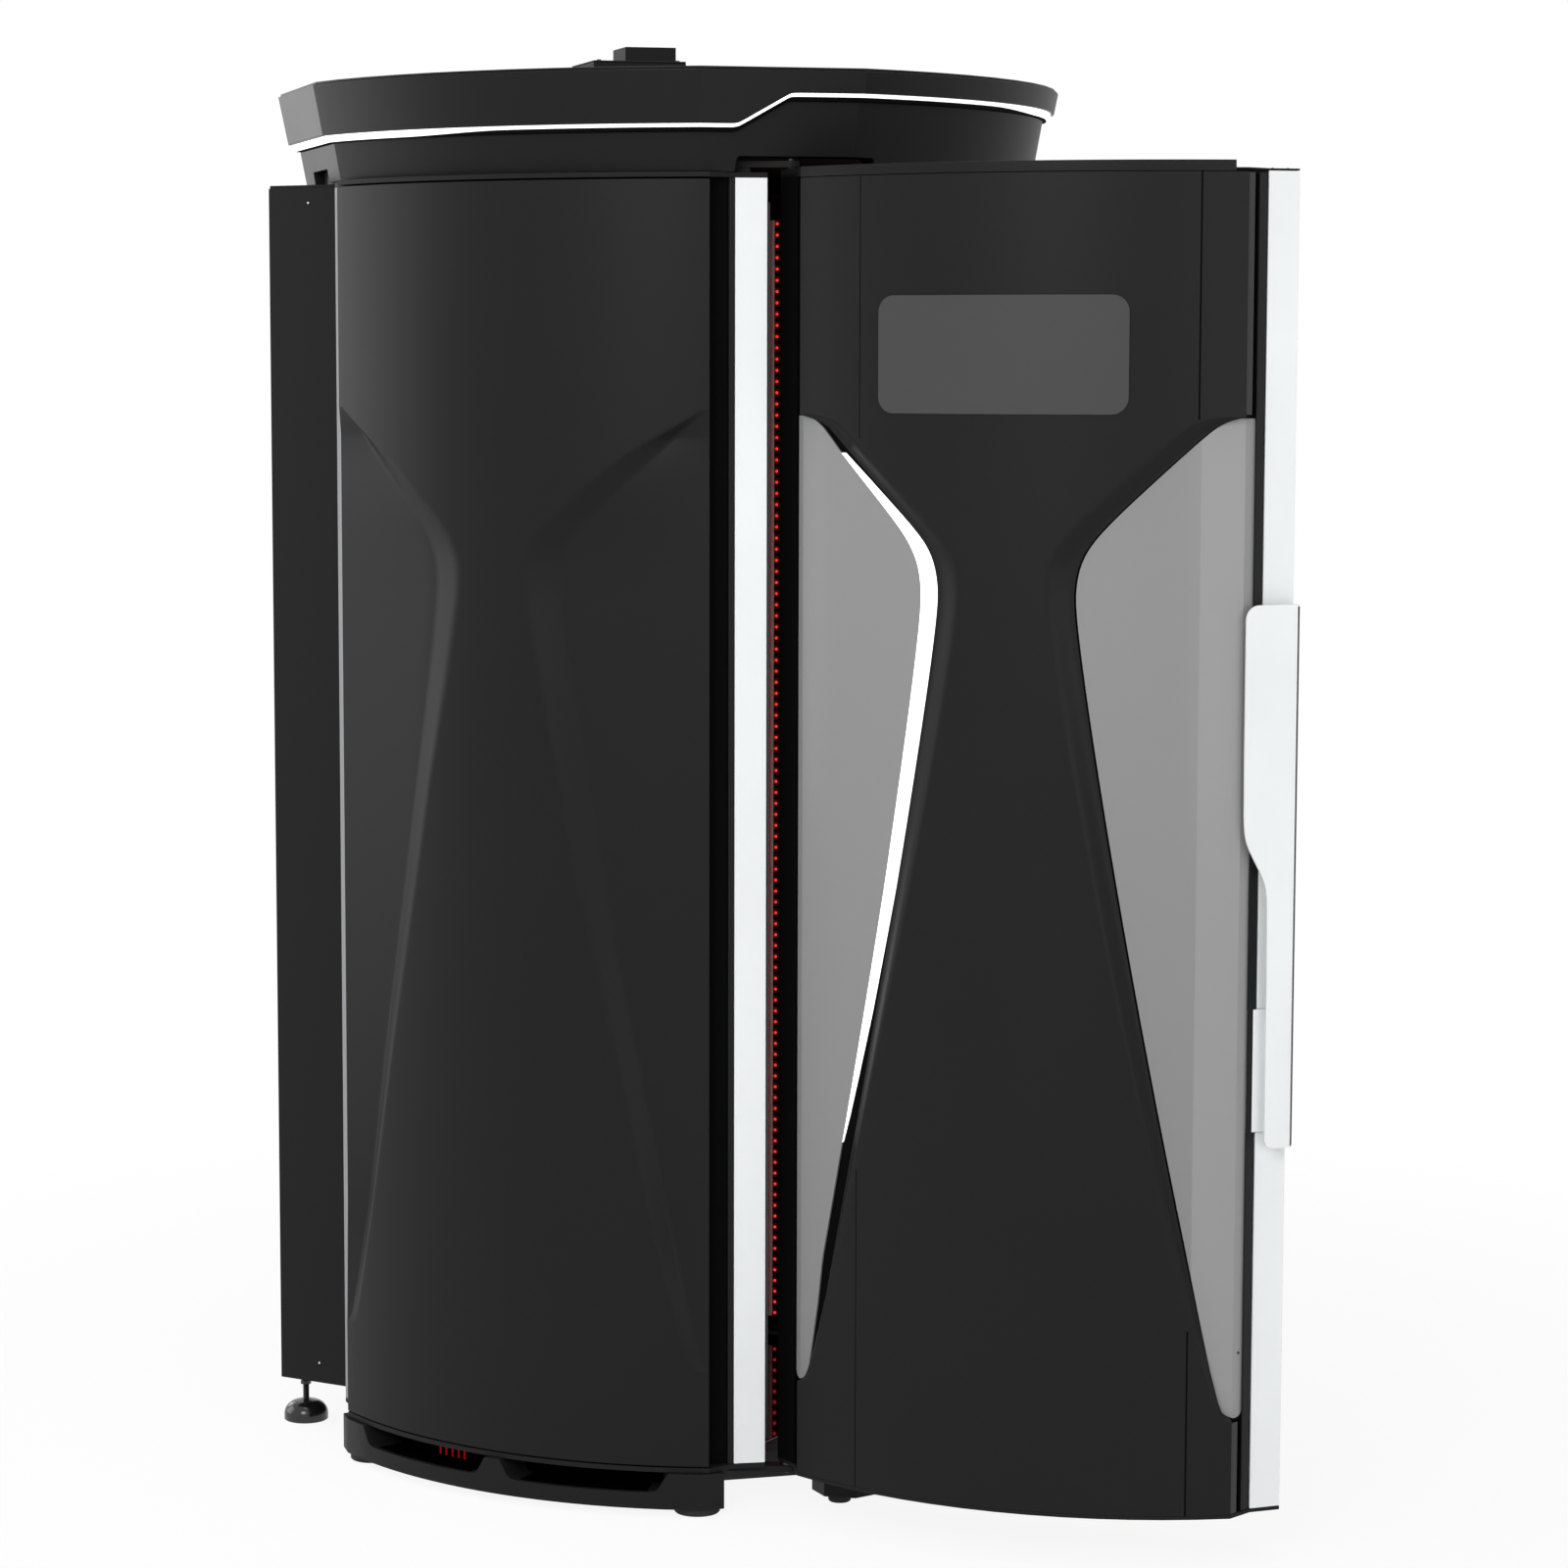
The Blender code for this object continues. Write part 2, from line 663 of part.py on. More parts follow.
def bow(first, last):
    """Points between two canopy corners, on the arc that stands out from them by its sagitta."""
    chord = Vector(last) - Vector(first)
    along = chord.normalized()
    out = Vector((along.y, -along.x))
    radius = (chord.length ** 2 / 4 + CANOPY_SAGITTA ** 2) / (2 * CANOPY_SAGITTA)
    half = math.asin(chord.length / 2 / radius)
    centre = Vector(first) + chord / 2 + out * (CANOPY_SAGITTA - radius)
    points = []
    for step in range(1, CANOPY_STEPS):
        lean = half * (2 * step / CANOPY_STEPS - 1)
        points.append(centre + out * radius * math.cos(lean) + along * radius * math.sin(lean))
    return [tuple(point) for point in points]


def canopy_plan():
    """The canopy's top edge, counterclockwise from the left rear corner, each point with its side's name."""
    side_end = CANOPY_REAR - CANOPY_FACET
    rear = POST_FACE + CANOPY_REAR_LAP
    rear_half = CANOPY_REAR - rear
    left = (-CANOPY_FACET, -CANOPY_SIDE_HALF)
    front = [-CANOPY_FRONT_HALF, CANOPY_FRONT_HALF, RISE_START, RISE_END]
    front += [NOTCH_START - NOTCH_BLEND, NOTCH_START]
    front = [(across, -CANOPY_FACET) for across in sorted(front)]
    right = [-CANOPY_SIDE_HALF, JAMB_STEP - NOTCH_BLEND, JAMB_STEP, side_end]
    right = [(CANOPY_FACET, across) for across in right]
    plan = [((-CANOPY_FACET, side_end), "left"), (left, "left")]
    plan += [(point, "left") for point in bow(left, front[0])]
    plan += [(point, "front") for point in front]
    plan += [(point, "door") for point in bow(front[-1], right[0])]
    plan += [(point, "right") for point in right]
    return plan + [((rear_half, rear), "rear"), ((-rear_half, rear), "rear")]


def canopy_loop():
    """Plan points of the canopy's top edge with the way each one moves when the outline grows."""
    plan = canopy_plan()
    loop = []
    for index, (point, kind) in enumerate(plan):
        before = (Vector(point) - Vector(plan[index - 1][0])).normalized()
        after = (Vector(plan[(index + 1) % len(plan)][0]) - Vector(point)).normalized()
        first = Vector((before.y, -before.x))
        second = Vector((after.y, -after.x))
        loop.append((point, (first + second) / (1.0 + first.dot(second)), kind))
    return loop


def canopy_rise(item):
    """How far the light line has climbed at a point of the canopy's edge, from 0 to 1."""
    point, move, kind = item
    if kind == "left":
        return 0.0
    if kind == "front":
        return max(0.0, min(1.0, (point[0] - RISE_START) / (RISE_END - RISE_START)))
    if kind == "rear":
        return 1.0 if point[0] > 0 else 0.0
    return 1.0


def skirt_low(item):
    """Height of the skirt's lower edge: cut up at the hinge and over the door."""
    point, move, kind = item
    if kind == "front" and point[0] > NOTCH_START - SEAM:
        return SKIRT_BOTTOM + NOTCH_HEIGHT
    if kind == "door" or kind == "right" and point[1] < JAMB_STEP - SEAM:
        return SKIRT_OVER_DOOR
    return SKIRT_BOTTOM


def canopy_points(loop, shrink, heights):
    """The loop moved in by a distance of its own at each point, at a height of its own."""
    result = []
    for item, less, height in zip(loop, shrink, heights):
        point, move, kind = item
        result.append((point[0] - move[0] * less, point[1] - move[1] * less, height))
    return result


def fan_outline():
    """Plan of the fan wheel: a hub with flat blades."""
    tip = FAN_BORE - FAN_TIP_GAP
    outline = []
    for blade in range(FAN_BLADES):
        start = 360.0 * blade / FAN_BLADES
        for step in range(5):
            turn = math.radians(start + FAN_BLADE_SPAN * step / 4)
            outline.append((FAN_X + tip * math.cos(turn), -FAN_Y + tip * math.sin(turn)))
        rest = 360.0 / FAN_BLADES - FAN_BLADE_SPAN
        for step in range(3):
            turn = math.radians(start + FAN_BLADE_SPAN + rest * step / 2)
            outline.append((FAN_X + FAN_HUB * math.cos(turn), -FAN_Y + FAN_HUB * math.sin(turn)))
    return outline


def square(width, centre, height):
    """The corners of a level square."""
    half = 0.5 * width
    signs = ((-1, -1), (1, -1), (1, 1), (-1, 1))
    return [(centre[0] + a * half, centre[1] + b * half, height) for a, b in signs]


def hinge_bar(root, tip):
    """Plan of a hinge bracket: a straight bar with a round end about the hinge axis."""
    way = (Vector(tip) - Vector(root)).normalized()
    across = Vector((-way.y, way.x)) * BRACKET_HALF_WIDTH
    outline = [tuple(Vector(root) - across)]
    for step in range(9):
        turn = math.radians(-90.0 + 22.5 * step)
        reach = way * BRACKET_HALF_WIDTH * math.cos(turn) + across * math.sin(turn)
        outline.append(tuple(Vector(tip) + reach))
    outline.append(tuple(Vector(root) + across))
    return outline


def plinth(name, finish, parent):
    """A curved plinth with two vent slots that open upward under the side."""
    radius = SKIN_RADIUS + PLINTH_PROUD
    end = Vector(arc_point(radius, PLINTH_END_ANGLE))
    facet = end + Vector((1.0, -1.0)) * PLINTH_END_WIDTH * math.sqrt(0.5)
    back = DECK_HALF + SEAM
    neck = facet - Vector((1.0, 1.0)) * PLINTH_NECK * math.sqrt(0.5)
    right = [tuple(facet), tuple(neck), (SKIN_CHORD / 2 - PLINTH_BACK_INSET, back)]
    outline = [(-u, n) for u, n in right[::-1]]
    for step in range(ARC_STEPS + 1):
        outline.append(arc_point(radius, PLINTH_END_ANGLE * (2 * step / ARC_STEPS - 1)))
    outline += right
    item = add(name, prism(name, outline, PLINTH_BOTTOM, DECK_TOP), finish, parent)
    for side in (-1, 1):
        slot = []
        steps = 6
        for step in range(steps + 1):
            angle = SLOT_RIB_ANGLE + (SLOT_OUTER_ANGLE - SLOT_RIB_ANGLE) * step / steps
            slot.append(arc_point(radius + SLOT_DEPTH, side * angle))
        for step in range(steps, -1, -1):
            angle = SLOT_RIB_ANGLE + (SLOT_OUTER_ANGLE - SLOT_RIB_ANGLE) * step / steps
            slot.append(arc_point(radius - SLOT_DEPTH, side * angle))
        cut(item, prism(name + "_slot", slot, SLOT_BOTTOM, DECK_TOP + DECK_WALL))
    return item


def levelling_foot(name, u, n, finish, parent):
    """A levelling foot: a domed pad on the floor and the stud that carries the cabinet."""
    stud_top = CABINET_BOTTOM - SEAM
    profile = [(0.0, 0.0), (LEVEL_PAD_RADIUS, 0.0), (LEVEL_PAD_RADIUS, LEVEL_PAD_LIP)]
    rise = LEVEL_PAD_HEIGHT - LEVEL_PAD_LIP
    span = LEVEL_PAD_RADIUS - 2 * LEVEL_STUD_RADIUS
    for step in range(1, 5):
        turn = math.radians(90.0 * step / 4)
        radius = LEVEL_PAD_RADIUS - span * (1 - math.cos(turn))
        profile.append((radius, LEVEL_PAD_LIP + rise * math.sin(turn)))
    profile += [(LEVEL_STUD_RADIUS, LEVEL_PAD_HEIGHT), (LEVEL_STUD_RADIUS, stud_top), (0.0, stud_top)]
    return add(name, turned(name, (u, n), profile), finish, parent)


def led_board(reach):
    """A flat LED board on a side's inner face, from its left edge to a reach of its own on the right."""
    return block("led_board", -LED_HALF_WIDTH, reach, LED_BACK - LED_WALL, LED_BACK, LED_BOTTOM, LED_TOP)


def rear_cabinet(label, side, looks, parent):
    """One flat rear cabinet with its end plate, LED panel, driver and two levelling feet."""
    front = side * (CABINET_FRONT - END_PLATE_WALL - SEAM)
    rear = -side * (INNER_DISTANCE - SEAM)
    outline = [(front, INNER_DISTANCE), (front, CABINET_OUTER), (rear, CABINET_OUTER), (rear, INNER_DISTANCE)]
    tub(label + "_cabinet", outline, CABINET_BOTTOM, HEAD_TOP, CABINET_WALL, looks["shell"], parent)
    plate = block("plate", side * (CABINET_FRONT - END_PLATE_WALL), side * CABINET_FRONT, INNER_DISTANCE,
                  CABINET_OUTER, CABINET_BOTTOM, END_PLATE_TOP)
    add(label + "_end_plate", plate, looks["black"], parent)
    add(label + "_led_panel", led_board(LED_HALF_WIDTH), looks["led"], parent)
    back = CABINET_OUTER - CABINET_WALL - SEAM
    driver = block("driver", -DRIVER_WIDTH / 2, DRIVER_WIDTH / 2, back - DRIVER_DEPTH, back, DRIVER_Z,
                   DRIVER_Z + DRIVER_HEIGHT)
    add(label + "_led_driver", driver, looks["metal"], parent)
    foot_n = CABINET_OUTER - LEVEL_INSET_N
    front_u = side * (CABINET_FRONT - LEVEL_INSET_U)
    rear_u = -side * (INNER_DISTANCE - LEVEL_INSET_U)
    levelling_foot(label + "_foot_front", front_u, foot_n, looks["metal"], parent)
    levelling_foot(label + "_foot_rear", rear_u, foot_n, looks["metal"], parent)


def corner_post(name, side, gap, finish, parent):
    """The upright that closes the corner between a curved side's mitred end and a rear cabinet."""
    base = CABINET_FRONT + SEAM
    shift = MITRE - gap
    tip = strip_point(1, STRIP_WIDTH, STRIP_WALL)
    outline = [(base - shift, base), (tip[1] - shift, tip[1]), (base - shift + POST_WIDTH, base)]
    add(name, prism(name, [(side * u, n) for u, n in outline], BASE_BOTTOM, HEAD_TOP), finish, parent)


def build_base(looks, left, right):
    """Deck, mat, pads and plinths."""
    reach = DECK_HALF * math.sqrt(2.0)
    outline = []
    cuts = ((DECK_FRONT_HALF, 0.0), (DECK_CORNER_HALF, 0.5), (DECK_CORNER_HALF, 1.0), (DECK_CORNER_HALF, 1.5))
    for half, turn in cuts:
        along = reach - half
        c, s = math.cos(turn * math.pi), math.sin(turn * math.pi)
        for across in (-half, half):
            outline.append((across * c + along * s, -across * s + along * c))
    add("floor_deck", prism("floor_deck", outline, DECK_BOTTOM, DECK_TOP), looks["deck"])
    corner = (INNER_DISTANCE - MAT_EDGE) * math.sqrt(2.0)
    mat = [(0.0, -corner), (corner, 0.0), (0.0, corner), (-corner, 0.0)]
    add("floor_mat", prism("floor_mat", mat, DECK_TOP + SEAM, DECK_TOP + SEAM + MAT_WALL), looks["rubber"])
    pad = round_bar("centre_pad", (0.0, 0.0), PAD_RADIUS, 0.0, DECK_BOTTOM - SEAM)
    add("centre_pad", pad, looks["rubber"])
    for label, parent in (("left", left), ("right", right)):
        plinth(label + "_plinth", looks["shell"], parent)
        for place, turn in (("near", FOOT_TURN - HALF_ANGLE), ("far", HALF_ANGLE - FOOT_TURN)):
            name = label + "_plinth_foot_" + place
            spot = arc_point(SKIN_RADIUS - FOOT_INSET, turn)
            add(name, round_bar(name, spot, FOOT_RADIUS, 0.0, PLINTH_BOTTOM - SEAM, 24), looks["rubber"],
                parent)


def build_left(looks, left):
    """The fixed curved module."""
    seat = STRIP_WALL + SEAM
    core = module_outline(CORE_RADIUS, HALF_ANGLE - 1.2, seat, seat)
    whole = module_outline(SKIN_RADIUS, HALF_ANGLE, 0.0, 0.0)
    tub("left_chassis", core, BASE_TOP + SEAM, STRIP_TOP, CHASSIS_WALL, looks["metal"], left)
    add("left_base_plate", prism("left_base_plate", whole, BASE_BOTTOM, BASE_TOP), looks["black"], left)
    add("left_top_plate", prism("left_top_plate", whole, HEAD_BOTTOM, HEAD_TOP), looks["black"], left)
    add("left_skin", left_skin_mesh(), looks["shell"], left)
    for label, side in (("left_strip_rear", -1), ("left_strip_front", 1)):
        outline = [strip_point(side, a, d) for a, d in
                   ((0.0, 0.0), (STRIP_WIDTH, 0.0), (STRIP_WIDTH, STRIP_WALL), (0.0, STRIP_WALL))]
        add(label, prism(label, outline, STRIP_BOTTOM, STRIP_TOP), looks["white"], left)
    add("left_led_panel", led_board(LED_HALF_WIDTH + LED_FRONT_EXTRA), looks["led"], left)
    corner_post("left_corner_post", -1, POST_GAP, looks["black"], left)


def build_hinge(looks, left, hinge_left):
    """The brackets and pins that carry the door."""
    root = (SKIN_CHORD / 2 - BRACKET_ROOT_INSET, SIDE_DISTANCE - BRACKET_ROOT_DEPTH)
    bar = hinge_bar(root, hinge_left)
    low_top = BASE_BOTTOM - SEAM
    low_bar = prism("bar", bar, low_top - BRACKET_WALL, low_top)
    low = add("hinge_bracket_bottom", low_bar, looks["black"], left)
    high_low = DOOR_CAP_TOP + BRACKET_LIFT
    high_bar = prism("bar", bar, high_low, high_low + BRACKET_WALL)
    high = add("hinge_bracket_top", high_bar, looks["black"], left)
    hole = PIN_RADIUS + SEAM
    cut(low, round_bar("hole", hinge_left, hole, low_top - 2 * BRACKET_WALL, low_top + BRACKET_WALL))
    cut(high, round_bar("hole", hinge_left, hole, high_low - BRACKET_WALL, high_low + 2 * BRACKET_WALL))
    way = (Vector(hinge_left) - Vector(root)).normalized() * SPACER_LENGTH
    across = Vector((-way.y, way.x)).normalized() * BRACKET_HALF_WIDTH
    start = Vector(root)
    foot = [start - across, start - across + way, start + across + way, start + across]
    spacer = prism("hinge_spacer", [tuple(p) for p in foot], HEAD_TOP + SEAM, high_low - SEAM)
    add("hinge_spacer", spacer, looks["black"], left)
    pin_low = low_top - BRACKET_WALL - PIN_PROUD
    pin = round_bar("pin", hinge_left, PIN_RADIUS, pin_low, SKIN_BOTTOM + PIN_IN_DOOR)
    add("hinge_pin_bottom", pin, looks["steel"], left)
    pin_high = high_low + BRACKET_WALL + PIN_PROUD
    pin = round_bar("pin", hinge_left, PIN_RADIUS, DOOR_TOP - PIN_IN_DOOR, pin_high)
    add("hinge_pin_top", pin, looks["steel"], left)
    washer = add("hinge_washer", round_bar("washer", hinge_left, WASHER_RADIUS, low_top + SEAM,
                                           DOOR_BASE_BOTTOM - SEAM), looks["steel"], left)
    cut(washer, round_bar("hole", hinge_left, hole, low_top - BRACKET_WALL, DOOR_BASE_BOTTOM + BRACKET_WALL))


def build_door(looks, axis, place, hinge):
    """The curved door, in its closed plan frame, carried by the hinge axis."""
    stile_seat = STILE_DEPTH + SEAM
    core = module_outline(CORE_RADIUS, HALF_ANGLE - 1.2, stile_seat, STRIP_WALL + SEAM)
    whole = module_outline(SKIN_RADIUS, HALF_ANGLE, 0.0, 0.0)
    tub("door_chassis", core, SKIN_BOTTOM, DOOR_TOP, CHASSIS_WALL, looks["metal"], axis, place)
    add("door_skin", door_skin_mesh(), looks["shell"], axis, place)
    add("door_window_left", window_mesh("door_window_left", -1, True), looks["window"], axis, place)
    add("door_window_right", window_mesh("door_window_right", 1, False), looks["window"], axis, place)
    add("door_light_line", light_line_mesh(), looks["light"], axis, place)
    add("door_panel", bare_panel_mesh(), looks["grey"], axis, place)
    add("door_led_panel", led_board(LED_HALF_WIDTH), looks["led"], axis, place)
    face = [(0.0, 0.0), (STRIP_WIDTH, 0.0), (STRIP_WIDTH, STRIP_WALL), (0.0, STRIP_WALL)]
    strip = prism("door_strip", [strip_point(1, a, d) for a, d in face], SKIN_BOTTOM, STRIP_TOP)
    add("door_strip", strip, looks["white"], axis, place)
    face = [(0.0, 0.0), (STRIP_WIDTH, 0.0), (STRIP_WIDTH, STILE_DEPTH), (0.0, STILE_DEPTH)]
    stile = prism("stile", [strip_point(-1, a, d) for a, d in face], SKIN_BOTTOM, DOOR_TOP)
    stile = add("door_hinge_stile", stile, looks["black"], axis, place)
    cap = prism("cap", whole, DOOR_CAP_BOTTOM, DOOR_CAP_TOP)
    cap = add("door_top_plate", cap, looks["black"], axis, place)
    base = prism("base", whole, DOOR_BASE_BOTTOM, DOOR_BASE_TOP)
    base = add("door_bottom_plate", base, looks["black"], axis, place)
    hole = PIN_RADIUS + PIN_CLEARANCE
    deep = PIN_IN_DOOR + 4 * SEAM
    cut(stile, round_bar("hole", hinge, hole, SKIN_BOTTOM - deep, SKIN_BOTTOM + deep))
    cut(stile, round_bar("hole", hinge, hole, DOOR_TOP - deep, DOOR_TOP + deep))
    cut(cap, round_bar("hole", hinge, hole, DOOR_TOP - deep, DOOR_TOP + deep))
    cut(base, round_bar("hole", hinge, hole, SKIN_BOTTOM - deep, SKIN_BOTTOM + deep))
    face = handle_outline()
    near = HANDLE_STANDOFF
    far = HANDLE_STANDOFF + HANDLE_WALL
    back_face = [on_strip(a, z, near) for a, z in face]
    front_face = [on_strip(a, z, far) for a, z in face]
    handle = add("door_handle", sweep("door_handle", back_face, front_face), looks["white"], axis, place)
    inner = HANDLE_RIGHT - HANDLE_WALL
    fold_top = HANDLE_TOP - HANDLE_CORNER
    edge = near - HANDLE_FLANGE
    fold = [(inner, edge), (HANDLE_RIGHT, edge), (HANDLE_RIGHT, far), (inner, far)]
    low = [on_strip(a, HANDLE_BOTTOM, h) for a, h in fold]
    high = [on_strip(a, fold_top, h) for a, h in fold]
    combine(handle, sweep("fold", low, high), "UNION")
    leg = BRACKET_EDGE - BRACKET_LEG
    off = near - SEAM
    for label, bottom, wing in (("lower", LOWER_BRACKET_Z, BRACKET_WING), ("upper", UPPER_BRACKET_Z, 0.0)):
        section = [(BRACKET_EDGE, SEAM), (BRACKET_EDGE, off), (leg, off)]
        if wing > 0.0:
            section += [(leg, BRACKET_WING_WALL), (leg - wing, BRACKET_WING_WALL), (leg - wing, SEAM)]
        else:
            section.append((leg, SEAM))
        low = [on_strip(a, bottom, h) for a, h in section]
        high = [on_strip(a, bottom + HANDLE_BRACKET_HEIGHT, h) for a, h in section]
        name = "handle_bracket_" + label
        add(name, sweep(name, low, high), looks["white"], axis, place)


def build_rear(looks, rear_left, rear_right, right):
    """The two cabinets, the post between them, the door's jamb and the power inlet."""
    rear_cabinet("rear_left", 1, looks, rear_left)
    rear_cabinet("rear_right", -1, looks, rear_right)
    near = INNER_DISTANCE
    cutoff = CABINET_OUTER - REAR_CHAMFER
    plan = [(near, near), (near, CABINET_OUTER), (cutoff, CABINET_OUTER), (CABINET_OUTER, cutoff),
            (CABINET_OUTER, near)]
    share = math.sqrt(0.5)
    outline = [((a - b) * share, -(a + b) * share) for a, b in plan]
    post = add("rear_post", prism("rear_post", outline, CABINET_BOTTOM, HEAD_TOP), looks["shell"])
    hollow = inset(outline, CABINET_WALL, -CABINET_WALL)
    cut(post, prism("hollow", hollow, CABINET_BOTTOM - CABINET_WALL, HEAD_TOP - CABINET_WALL))
    corner_post("right_jamb", 1, JAMB_GAP, looks["black"], right)
    inlet = block("power_inlet", -INLET_WIDTH / 2, INLET_WIDTH / 2, CABINET_OUTER + SEAM,
                  CABINET_OUTER + SEAM + INLET_DEPTH, INLET_Z, INLET_Z + INLET_HEIGHT)
    add("power_inlet", inlet, looks["black"], rear_right)


def build_canopy(looks):
    """Ceiling, skirt, light ring, cap and roof with its exhaust fan."""
    loop = canopy_loop()
    rise = [LINE_RISE * canopy_rise(item) for item in loop]
    low = [skirt_low(item) for item in loop]
    top = [RING_BOTTOM + r for r in rise]
    foot_in = [SKIRT_INSET - SKIRT_FLARE * (z - SKIRT_BOTTOM) for z in low]
    top_in = [SKIRT_INSET - SKIRT_FLARE * (z - SKIRT_BOTTOM) for z in top]
    inner = [SKIRT_INNER] * len(loop)
    skirt = ring("canopy_skirt", canopy_points(loop, foot_in, low), canopy_points(loop, inner, low),
                 canopy_points(loop, top_in, top), canopy_points(loop, inner, top))
    add("canopy_skirt", skirt, looks["shell"])
    lip = [CAP_BOTTOM + SEAM + r for r in rise]
    lip_in = [CAP_FLARE * (CAP_TOP - z) for z in lip]
    line_in = [less + RING_INSET for less in lip_in]
    line_low = [z + SEAM for z in top]
    line_high = [CAP_BOTTOM + r for r in rise]
    inner = [CAP_INNER] * len(loop)
    light = ring("canopy_light_ring",
                 canopy_points(loop, line_in, line_low), canopy_points(loop, inner, line_low),
                 canopy_points(loop, line_in, line_high), canopy_points(loop, inner, line_high))
    add("canopy_light_ring", light, looks["light"])
    flush = [0.0] * len(loop)
    level = [CAP_TOP] * len(loop)
    cap = ring("canopy_cap", canopy_points(loop, lip_in, lip), canopy_points(loop, inner, lip),
               canopy_points(loop, flush, level), canopy_points(loop, inner, level))
    add("canopy_cap", cap, looks["shell"])
    edge = [ROOF_INSET] * len(loop)
    roof = sweep("roof_panel", canopy_points(loop, edge, [ROOF_BOTTOM] * len(loop)),
                 canopy_points(loop, edge, [ROOF_TOP] * len(loop)))
    roof = add("roof_panel", roof, looks["shell"])
    edge = [SKIRT_INNER + SEAM] * len(loop)
    ceiling_low = SKIRT_BOTTOM + CEILING_LIFT
    ceiling = sweep("ceiling_panel", canopy_points(loop, edge, [ceiling_low] * len(loop)),
                    canopy_points(loop, edge, [ceiling_low + CEILING_WALL] * len(loop)))
    ceiling = add("ceiling_panel", ceiling, looks["black"])
    centre = (FAN_X, -FAN_Y)
    vent = FAN_BORE - FAN_TIP_GAP
    cut(roof, round_bar("vent", centre, vent, ROOF_BOTTOM - ROOF_WALL, ROOF_TOP + ROOF_WALL))
    cut(ceiling, round_bar("vent", centre, vent, ceiling_low - CEILING_WALL, ceiling_low + 2 * CEILING_WALL))
    base = ROOF_TOP + SEAM
    top = base + FAN_HOUSING_HEIGHT
    middle = (FAN_X, FAN_Y)
    box = sweep("fan_housing", square(FAN_HOUSING, middle, base), square(FAN_HOUSING, middle, top))
    housing = add("fan_housing", box, looks["metal"])
    cut(housing, round_bar("bore", centre, FAN_BORE, base - FAN_HOUSING_HEIGHT, top + FAN_HOUSING_HEIGHT))
    half = 0.5 * (FAN_BORE + 0.5 * FAN_HOUSING)
    arm = SPIDER_WIDTH / 2
    spider = block("fan_spider", FAN_X - half, FAN_X + half, -FAN_Y - arm, -FAN_Y + arm, base + SEAM,
                   base + SEAM + SPIDER_WALL)
    combine(housing, spider, "UNION")
    wheel = base + 2 * SEAM + SPIDER_WALL
    add("exhaust_fan", prism("exhaust_fan", fan_outline(), wheel, wheel + FAN_WALL), looks["black"])
    bore = DUCT_WIDTH - 2 * DUCT_WALL
    duct_low = top + SEAM
    duct_high = duct_low + DUCT_HEIGHT
    aside = (FAN_X + DUCT_SHIFT_X, FAN_Y + DUCT_SHIFT_Y)
    duct = ring("exhaust_duct", square(DUCT_WIDTH, aside, duct_low), square(bore, aside, duct_low),
                square(DUCT_WIDTH, aside, duct_high), square(bore, aside, duct_high))
    duct_item = add("exhaust_duct", duct, looks["metal"])
    lip = duct_low + DUCT_WALL
    flange = ring("flange", square(FAN_HOUSING, middle, duct_low), square(bore, aside, duct_low),
                  square(FAN_HOUSING, middle, lip), square(bore, aside, lip))
    combine(duct_item, flange, "UNION")


def main():
    """Build the booth."""
    clear_scene()
    looks = {
        "shell": material("satin_black", (0.018, 0.018, 0.019), 0.42),
        "black": material("matt_black", (0.012, 0.012, 0.013), 0.55),
        "white": material("white_coat", (0.83, 0.85, 0.86), 0.35),
        "window": material("grey_acrylic", (0.32, 0.32, 0.33), 0.18),
        "light": material("light_diffuser", (0.95, 0.95, 0.95), 0.40),
        "grey": material("grey_panel", (0.08, 0.08, 0.082), 0.45),
        "led": material("led_board", (0.06, 0.05, 0.05), 0.50),
        "metal": material("zinc_sheet", (0.30, 0.30, 0.31), 0.40, 0.8),
        "steel": material("bright_steel", (0.60, 0.60, 0.61), 0.25, 1.0),
        "deck": material("deck_board", (0.030, 0.030, 0.032), 0.60),
        "rubber": material("black_rubber", (0.020, 0.020, 0.020), 0.80),
    }
    left = frame("left_side", -45.0)
    right = frame("right_side", 45.0)
    rear_left = frame("rear_left_side", -135.0)
    rear_right = frame("rear_right_side", 135.0)
    hinge = strip_point(-1, HINGE_ALONG, HINGE_DEPTH)
    share = math.sqrt(0.5)
    hinge_x = (hinge[0] + hinge[1]) * share
    hinge_y = (hinge[0] - hinge[1]) * share
    hinge_left = ((hinge_x - hinge_y) * share, (-hinge_x - hinge_y) * share)
    axis = frame("door_axis", 45.0 - DOOR_OPEN, (hinge_x, hinge_y, 0.0))
    place = (-hinge[0], hinge[1], 0.0)
    build_base(looks, left, right)
    build_left(looks, left)
    build_hinge(looks, left, hinge_left)
    build_rear(looks, rear_left, rear_right, right)
    build_canopy(looks)
    build_door(looks, axis, place, hinge)


main()
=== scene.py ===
"""The looks of a stand-up light therapy booth, in metres with +Z up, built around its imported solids.

Each side of the booth has its own plan frame: u runs along the side, left to right seen from outside,
and n runs outward from the middle of the booth. Angles on a curved side start at its middle, in degrees.
"""
import json
import math

